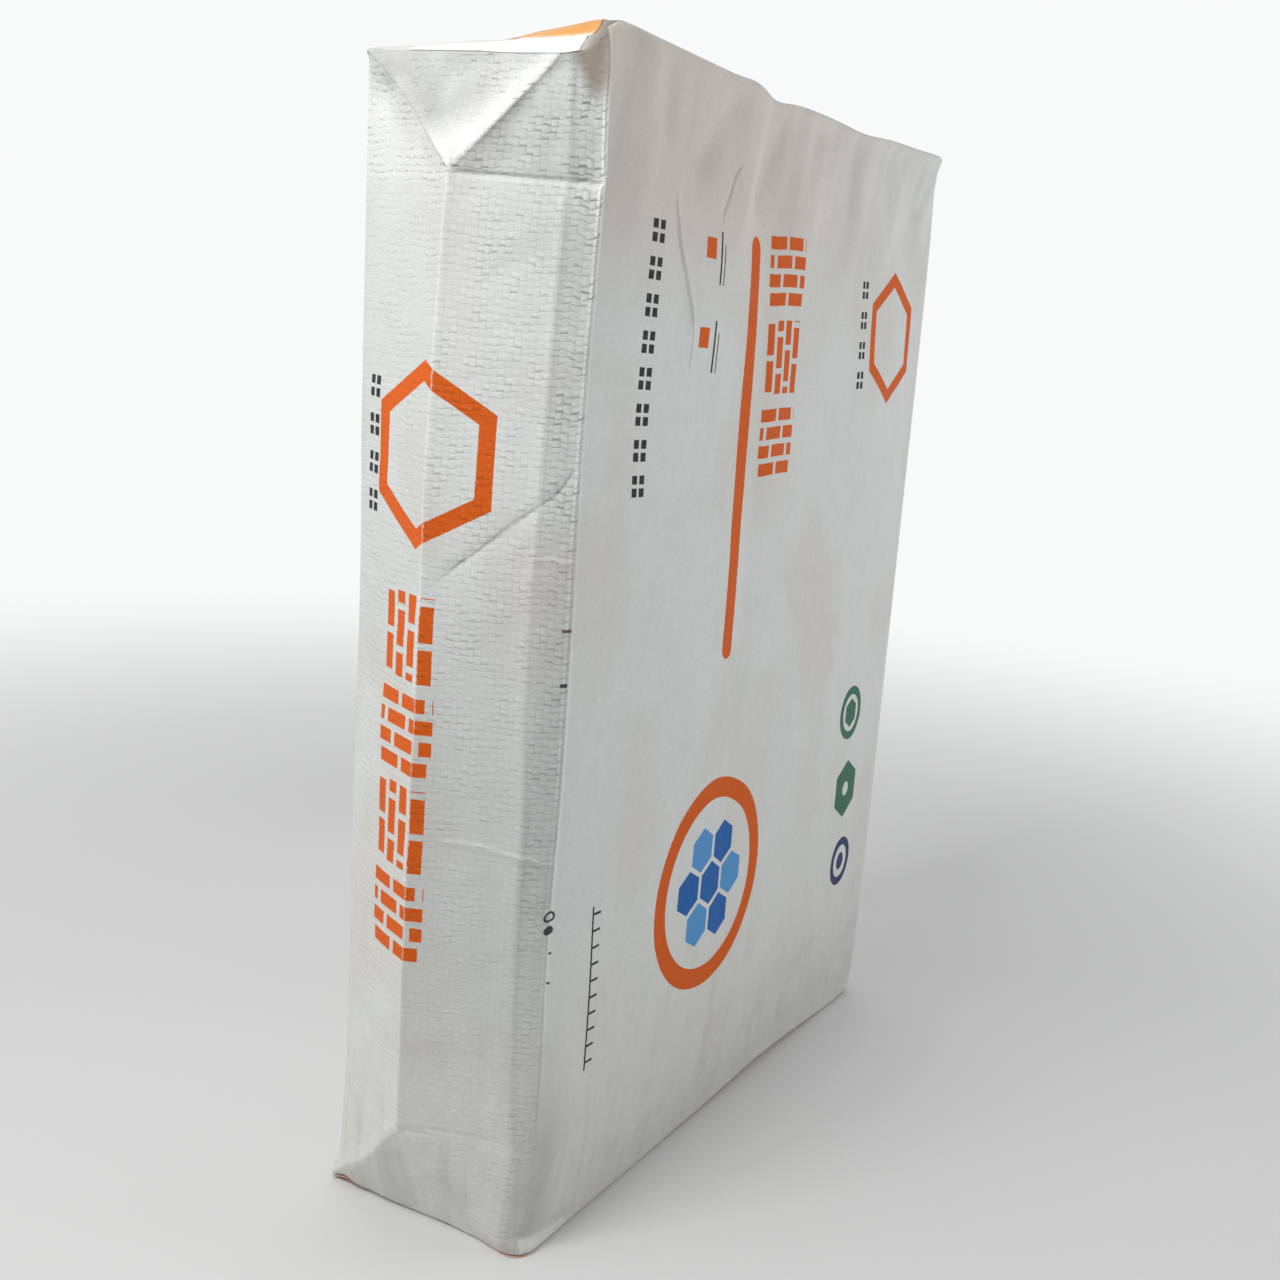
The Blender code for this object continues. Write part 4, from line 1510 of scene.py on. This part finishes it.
        # the near edge is a pressed bead: a painted highlight along it, brighter right at the corner
        on_edge = smooth(t, v, 80.0, 130.0) * smooth(t, v, 482.0, 470.0)
        drop = drop - smooth(t, t_abs(u + 1.5), 1.3, 0.4) * on_edge * (0.03 + cell * 0.08)
        drop = drop - smooth(t, u, -1.0, -0.4) * smooth(t, u, 1.5, 0.8) * on_edge * 0.22
        # painted highlight along the lower fold line on the near half
        low_fold = t_abs(v - 53.2 + (u + 41.0) * 0.045 * smooth(t, u, -42.0, -38.0))
        drop = drop - smooth(t, low_fold, 0.9, 0.2) * side_near * smooth(t, u, -60.0, -44.0) * 0.10
        # painted shade on the near half just below the fold level with the tip
        drop = drop + side_near * smooth(t, v, 454.0, 451.0) * smooth(t, v, 395.0, 440.0) * 0.07
        # painted shade: a dark brownish grey in the dented strip under the upper front corner, and a darker brown on
        # the top panel's corner beside it
        funnel = smooth(t, u + 20.0 - up * 0.50, 0.0, 7.0) * smooth(t, u, 1.5, -0.5) * smooth(t, v, 468.0, 486.0) * tube
        over_top = smooth(t, v, 519.0, 520.0) * smooth(t, v, 538.0, 524.0) * smooth(t, u, 15.0, 9.0)
        base = mix(t, funnel * 0.92, base, (0.385, 0.326, 0.285))
        base = mix(t, over_top * 0.96, base, (0.245, 0.205, 0.178))
    else:
        # painted shade along the bottom of the front face and in its upper part by the near edge, and a painted
        # highlight along the near edge
        front_in = smooth(t, u, W + 1.0, W - 1.0)
        drop = front_in * smooth(t, v, 90.0, 0.0) * 0.08
        drop = drop + smooth(t, u, 60.0, 5.0) * smooth(t, v, 330.0, 450.0) * 0.06
        drop = drop - smooth(t, u, 1.1, 0.4) * smooth(t, u, -1.0, -0.3) * smooth(t, v, 80.0, 130.0) * smooth(t, v, 482.0, 470.0) * 0.14
        # the turned lip by the floor gets a painted highlight, and the hollow above it painted shade
        lip_v = v + u * 0.10 - 7.5
        drop = drop + smooth(t, u, 24.0, 3.0) * smooth(t, lip_v, -0.6, 0.8) * smooth(t, v, 100.0, 45.0) * 0.13
        drop = drop - smooth(t, lip_v, 0.6, -0.6) * smooth(t, u, 46.0, 26.0) * 0.14
        # painted shade and painted highlight by turns along the folds under the upper rim
        gather = n_noise(t, combine(t, u + (500.0 - v) * 0.35, v * 0.22, 63.0), 0.045, 1.0, 0.5) - 0.5
        drop = drop + gather * smooth(t, v, 395.0, 470.0) * tube * 0.34
        # two pressed creases: painted shade in each, with a painted highlight beside it
        for where, hi_v, lo_v, deep in (
            (53.0 + smooth(t, v, 441.0, 385.0) * 22.0, 446.0, 374.0, 0.22),
            ((v - 437.0) * 0.69 + 94.0, 466.0, 434.0, 0.20),
        ):
            du = u - where
            band = smooth(t, v, hi_v, hi_v - 6.0) * smooth(t, v, lo_v, lo_v + 8.0)
            drop = drop + smooth(t, t_abs(du), 1.75, 0.45) * band * deep
            drop = drop - smooth(t, t_abs(du - 2.2), 1.8, 0.4) * band * 0.05
    # a little warmer near the floor
    base = mix(t, smooth(t, v, 190.0, 20.0) * tube * 0.7, base, (0.695, 0.688, 0.648))
    # each tape's tone a little different; painted shade where the weave lies low, and the painted shade and highlights
    # gathered in drop
    shade = (0.975 + cell * 0.03) * (0.955 + high * 0.05) * (1.0 - drop)
    if side:
        # painted shade in the weave's pockets, where an upright tape dips under a cross tape
        pocket = smooth(t, high, 0.36, 0.06) * on_side * smooth(t, cell, 0.30, 0.9)
        upper = smooth(t, v, 440.0, 452.0) * smooth(t, v, 511.0, 509.0)
        lively = smooth(t, v, 60.0, 330.0, 0.42, 1.0)
        calm = lively * (1.0 - funnel * 0.8)
        shade = shade * (1.0 - pocket * calm * (0.18 + near_strip * 0.24 + upper * 0.12 - far_half * 0.12))
        # painted highlight along the edges of the cross tapes
        row = t_abs(t_wrap(q_row, 0.0, 1.0) - 0.5)
        shade = shade * (1.0 + smooth(t, row, 0.38, 0.47) * calm * on_side * (0.065 + far_half * 0.025))
    # dust and handling marks, more of them low on the bag
    dust = n_noise(t, combine(t, u, v, 55.0), 0.045, 2.0, 0.6)
    low = smooth(t, v, 150.0, 0.0)
    dirt = smooth(t, dust, 0.46, 0.72) * (0.04 + low * 0.10) + low * 0.03
    streak = n_noise(t, combine(t, u * 1.0, v * 0.10, 77.0), 0.16, 1.0, 0.6)
    dirt = dirt + smooth(t, streak, 0.50, 0.74) * smooth(t, v, 130.0, 20.0) * 0.13
    scale = t.node("ShaderNodeMix", data_type="RGBA", blend_type="MULTIPLY")
    scale.inputs[0].default_value = 1.0
    t.put(scale.inputs[6], base)
    grey = t.node("ShaderNodeCombineColor")
    for q in range(3):
        t.put(grey.inputs[q], shade)
    t.links.new(grey.outputs[0], scale.inputs[7])
    col = scale.outputs[2]
    col = mix(t, dirt, col, (0.40, 0.375, 0.33))

    def ink(col, dist, colour, strength=0.98, soft=0.14):
        return mix(t, inside(dist, soft) * hold * strength, col, colour)

    col = ink(col, orange, ORANGE)
    if not side:
        col = ink(col, blue, BLUE)
        col = ink(col, pale, (0.085, 0.30, 0.62))
        col = ink(col, navy, NAVY)
        col = ink(col, green, GREEN)
    col = ink(col, bars, BLACK)
    col = mix(t, inside(marks, 0.2) * 0.92, col, BLACK)
    if side:
        col = mix(t, inside(brown, 0.2) * 0.85, col, (0.12, 0.05, 0.03))
    t.links.new(col, t.shader.inputs["Base Color"])

    # gloss: a satin film, duller where it is rubbed
    rough = 0.46 + (dust - 0.5) * 0.22 + (worn - 0.5) * 0.10
    t.links.new(rough.s, t.shader.inputs["Roughness"])

    # relief, in millimetres
    if side:
        patchy = smooth(t, low_n, -0.16, 0.16, 0.55, 1.15)
        amp = 0.018 + on_side * lively * (0.50 + near_strip * 0.52 + upper * 0.24 - far_half * 0.15)
        amp = amp * (1.0 - funnel * 0.75)
        relief = high * amp * patchy * (0.35 + cell * 1.0)
        kx = 1.7 - on_side * 1.15
        ky = 0.22 + on_side * 1.35
        film = n_noise(t, combine(t, u * kx, v * ky, 12.0), 0.22, 1.0, 0.55)
        relief = relief + (film - 0.5) * (0.13 + on_side * 0.05)
    else:
        # drawn flat over the wide faces, where the film has fine upright wrinkles
        film = n_noise(t, combine(t, u * 1.7, v * 0.22, 12.0), 0.22, 2.0, 0.55)
        relief = high * (0.008 + cell * 0.016) + (film - 0.5) * 0.11
    bump = t.node("ShaderNodeBump")
    bump.inputs["Strength"].default_value = 1.0
    bump.inputs["Distance"].default_value = 0.001
    t.links.new(relief.s, bump.inputs["Height"])
    t.links.new(bump.outputs[0], t.shader.inputs["Normal"])
    t.shader.inputs["IOR"].default_value = 1.49
    t.shader.inputs["Specular IOR Level"].default_value = 0.04
    return t.mat


def patch_material(name, first, second):
    t = Tree(name)
    u, v = flat_uv(t)
    high, low_n, cell, q = weave(t, u, v, 0.8)
    soil = n_noise(t, combine(t, u, v, 8.0), 0.04, 3.0, 0.6)
    fade = smooth(t, soil, 0.40, 0.70)
    base = mix(t, fade, first, second)
    nd = t.node("ShaderNodeMix", data_type="RGBA", blend_type="MULTIPLY")
    nd.inputs[0].default_value = 1.0
    t.put(nd.inputs[6], base)
    g = t.node("ShaderNodeCombineColor")
    # each tape's tone a little different, with a little painted shade where the weave lies low
    val = (0.96 + cell * 0.04) * (0.95 + high * 0.06)
    for q in range(3):
        t.put(g.inputs[q], val)
    t.links.new(g.outputs[0], nd.inputs[7])
    # rubbed paler along the sheet's edges
    edge = t_min(t_min(u - 5.0, 353.0 - u), t_min(v - 7.0, 106.5 - v))
    wear = n_noise(t, combine(t, u, v, 3.0), 0.35, 3.0, 0.7)
    rub = smooth(t, edge - wear * 2.2, 0.4, -1.2)
    col = mix(t, rub * 0.6, nd.outputs[2], (0.78, 0.66, 0.56))
    t.links.new(col, t.shader.inputs["Base Color"])
    rough = 0.34 + (wear - 0.5) * 0.14
    t.links.new(rough.s, t.shader.inputs["Roughness"])
    relief = high * (0.03 + cell * 0.05) + (soil - 0.5) * 0.5 + (wear - 0.5) * 0.06
    bump = t.node("ShaderNodeBump")
    bump.inputs["Strength"].default_value = 1.0
    bump.inputs["Distance"].default_value = 0.001
    t.links.new(relief.s, bump.inputs["Height"])
    t.links.new(bump.outputs[0], t.shader.inputs["Normal"])
    t.shader.inputs["IOR"].default_value = 1.49
    t.shader.inputs["Coat Weight"].default_value = 0.15
    t.shader.inputs["Coat Roughness"].default_value = 0.2
    return t.mat


def sleeve_material():
    t = Tree("valve_film")
    u, v = flat_uv(t)
    high, low_n, cell, q = weave(t, u, v, 0.6, 2.2)
    n = n_noise(t, combine(t, u, v, 8.0), 0.12, 2.0, 0.6)
    col = mix(t, smooth(t, n, 0.35, 0.7), (0.80, 0.815, 0.80), (0.785, 0.78, 0.755))
    t.links.new(col, t.shader.inputs["Base Color"])
    rough = 0.40 + (n - 0.5) * 0.14
    t.links.new(rough.s, t.shader.inputs["Roughness"])
    relief = high * (0.02 + cell * 0.02)
    bump = t.node("ShaderNodeBump")
    bump.inputs["Strength"].default_value = 1.0
    bump.inputs["Distance"].default_value = 0.001
    t.links.new(relief.s, bump.inputs["Height"])
    t.links.new(bump.outputs[0], t.shader.inputs["Normal"])
    return t.mat


bag.data.materials.append(tube_material(True))
bag.data.materials.append(tube_material(False))
flat_at = np.zeros(2 * len(bag.data.loops), np.float32)
bag.data.uv_layers["flat"].data.foreach_get("uv", flat_at)
flat_at = flat_at.reshape(-1, 3, 2).mean(axis=1) * 1000.0
wide = (np.abs(flat_at[:, 1] - H / 2) < H / 2) & (flat_at[:, 0] > 0) & (
    (flat_at[:, 0] < U_FR) | (flat_at[:, 0] > U_BR))
bag.data.polygons.foreach_set("material_index", wide.astype(np.int32))
# the upper patch's orange is painted paler: a painted highlight for the strong light on the upper end
patch_top.data.materials.append(
    patch_material("printed_patch_upper", (0.74, 0.335, 0.080), (0.77, 0.375, 0.115)))
patch_bottom.data.materials.append(
    patch_material("printed_patch_lower", (0.66, 0.165, 0.05), (0.72, 0.22, 0.08)))
sleeve.data.materials.append(sleeve_material())

# ------------------------------------------------------------------ ride with the root body
for ob, slot in ((bag, "woven_pp"), (patch_top, "printed_patch"),
                 (patch_bottom, "printed_patch"), (sleeve, "valve_fabric")):
    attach(ob, "root")
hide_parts("woven_tube", "gypsum_fill")
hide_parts("top_cover_patch")
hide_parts("bottom_cover_patch")
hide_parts("valve_sleeve")

# ------------------------------------------------------------------ floor, light, camera
floor_me = bpy.data.meshes.new("floor")
n, R = 96, 9.0
ring = [(R * math.cos(2 * math.pi * k / n), R * math.sin(2 * math.pi * k / n), 0.0) for k in range(n)]
floor_me.from_pydata(ring, [], [list(range(n))])
floor = bpy.data.objects.new("floor", floor_me)
scene.collection.objects.link(floor)
ft = Tree("floor_pale")
ft.shader.inputs["Base Color"].default_value = (0.80, 0.80, 0.798, 1.0)
# it runs out into the pale backdrop, with no line where they meet
geo = ft.node("ShaderNodeNewGeometry")
away = ft.node("ShaderNodeVectorMath", operation="LENGTH")
ft.links.new(geo.outputs["Position"], away.inputs[0])
far_off = smooth(ft, Val(ft, away.outputs["Value"]), 0.35, 1.5)
glow = ft.node("ShaderNodeEmission")
glow.inputs["Color"].default_value = (*BACKDROP, 1.0)
blend_ = ft.node("ShaderNodeMixShader")
ft.put(blend_.inputs[0], far_off)
ft.links.new(ft.shader.outputs[0], blend_.inputs[1])
ft.links.new(glow.outputs[0], blend_.inputs[2])
out_ = [nd for nd in ft.nodes if nd.type == "OUTPUT_MATERIAL"][0]
ft.links.new(blend_.outputs[0], out_.inputs["Surface"])
ft.mat.cycles.emission_sampling = "NONE"
ft.shader.inputs["Roughness"].default_value = 0.75
ft.shader.inputs["Specular IOR Level"].default_value = 0.25
floor_me.materials.append(ft.mat)

# soft room light, with a bright pale wall behind the bag
world = bpy.data.worlds.new("studio")
scene.world = world
world.use_nodes = True
wt = world.node_tree
bg = wt.nodes["Background"]
coord = wt.nodes.new("ShaderNodeTexCoord")
dot = wt.nodes.new("ShaderNodeVectorMath")
dot.operation = "DOT_PRODUCT"
dot.inputs[1].default_value = (0.866, 0.5, 0.0)
wt.links.new(coord.outputs["Generated"], dot.inputs[0])
wall = wt.nodes.new("ShaderNodeMapRange")
wall.interpolation_type = "SMOOTHSTEP"
wall.inputs["From Min"].default_value = 0.35
wall.inputs["From Max"].default_value = 0.80
wall.inputs["To Min"].default_value = WALL_DIM
wall.inputs["To Max"].default_value = WALL_BRIGHT
wt.links.new(dot.outputs["Value"], wall.inputs["Value"])
wt.links.new(wall.outputs["Result"], bg.inputs[1])
bg.inputs[0].default_value = (0.98, 0.99, 1.0, 1.0)
# the backdrop itself is one plain pale tone all round
plain = wt.nodes.new("ShaderNodeBackground")
plain.inputs[0].default_value = (*BACKDROP, 1.0)
seen = wt.nodes.new("ShaderNodeLightPath")
either = wt.nodes.new("ShaderNodeMixShader")
wt.links.new(seen.outputs["Is Camera Ray"], either.inputs[0])
wt.links.new(bg.outputs[0], either.inputs[1])
wt.links.new(plain.outputs[0], either.inputs[2])
wt.links.new(either.outputs[0], wt.nodes["World Output"].inputs["Surface"])


def sun(name, way, strength, angle, colour):
    la = bpy.data.lights.new(name, "SUN")
    la.energy = strength
    la.angle = math.radians(angle)
    la.color = colour
    ob = bpy.data.objects.new(name, la)
    scene.collection.objects.link(ob)
    ob.rotation_mode = "QUATERNION"
    ob.rotation_quaternion = Vector(way).to_track_quat("-Z", "Y")
    return ob


def area(name, loc, aim, size, size_y, power, colour):
    la = bpy.data.lights.new(name, "AREA")
    la.shape = "RECTANGLE"
    la.size, la.size_y = size, size_y
    la.energy = power
    la.color = colour
    ob = bpy.data.objects.new(name, la)
    scene.collection.objects.link(ob)
    ob.location = loc
    way = Vector(aim) - Vector(loc)
    ob.rotation_mode = "QUATERNION"
    ob.rotation_quaternion = way.to_track_quat("-Z", "Y")
    return ob


sun("ceiling", (0.10, -0.05, -1.0), 0.12, 95.0, (1.0, 1.0, 1.0))
area("left_window", (-0.95, 1.25, 0.34), (-0.2, 0.0, 0.24), 0.9, 0.9, 5.85, (1.0, 1.0, 0.995))
area("top_left", (-0.64, 0.10, 0.92), (-0.19, 0.0, 0.42), 0.35, 0.35, 3.9, (1.0, 1.0, 0.985))
area("front_fill", (1.0, -1.3, 0.62), (0.0, 0.0, 0.25), 1.0, 1.0, 7.0, (0.985, 0.99, 1.0))

cam_data = bpy.data.cameras.new("camera")
cam = bpy.data.objects.new("camera", cam_data)
scene.collection.objects.link(cam)
cam_data.sensor_width = 36.0
cam_data.lens = 42.786
cam_data.clip_start, cam_data.clip_end = 0.02, 60.0
right = Vector((0.514765, -0.854430, 0.070472))
down = Vector((-0.135323, -0.162146, -0.977444))
ahead = Vector((0.846584, 0.493617, -0.199091))
m = Matrix((right, -down, -ahead)).transposed()
place_at = Vector(((-493.807 - OX) / 1000, (-323.269 - OY) / 1000, (393.634 + OZ) / 1000))
cam.matrix_world = Matrix.Translation(place_at) @ m.to_4x4()
scene.camera = cam
# pale, matt things on a pale floor: later bounces add next to nothing
scene.cycles.max_bounces = 4
scene.cycles.diffuse_bounces = 3
scene.cycles.glossy_bounces = 2

scene.view_settings.view_transform = "Standard"
scene.view_settings.look = "None"
scene.view_settings.exposure = 0.0
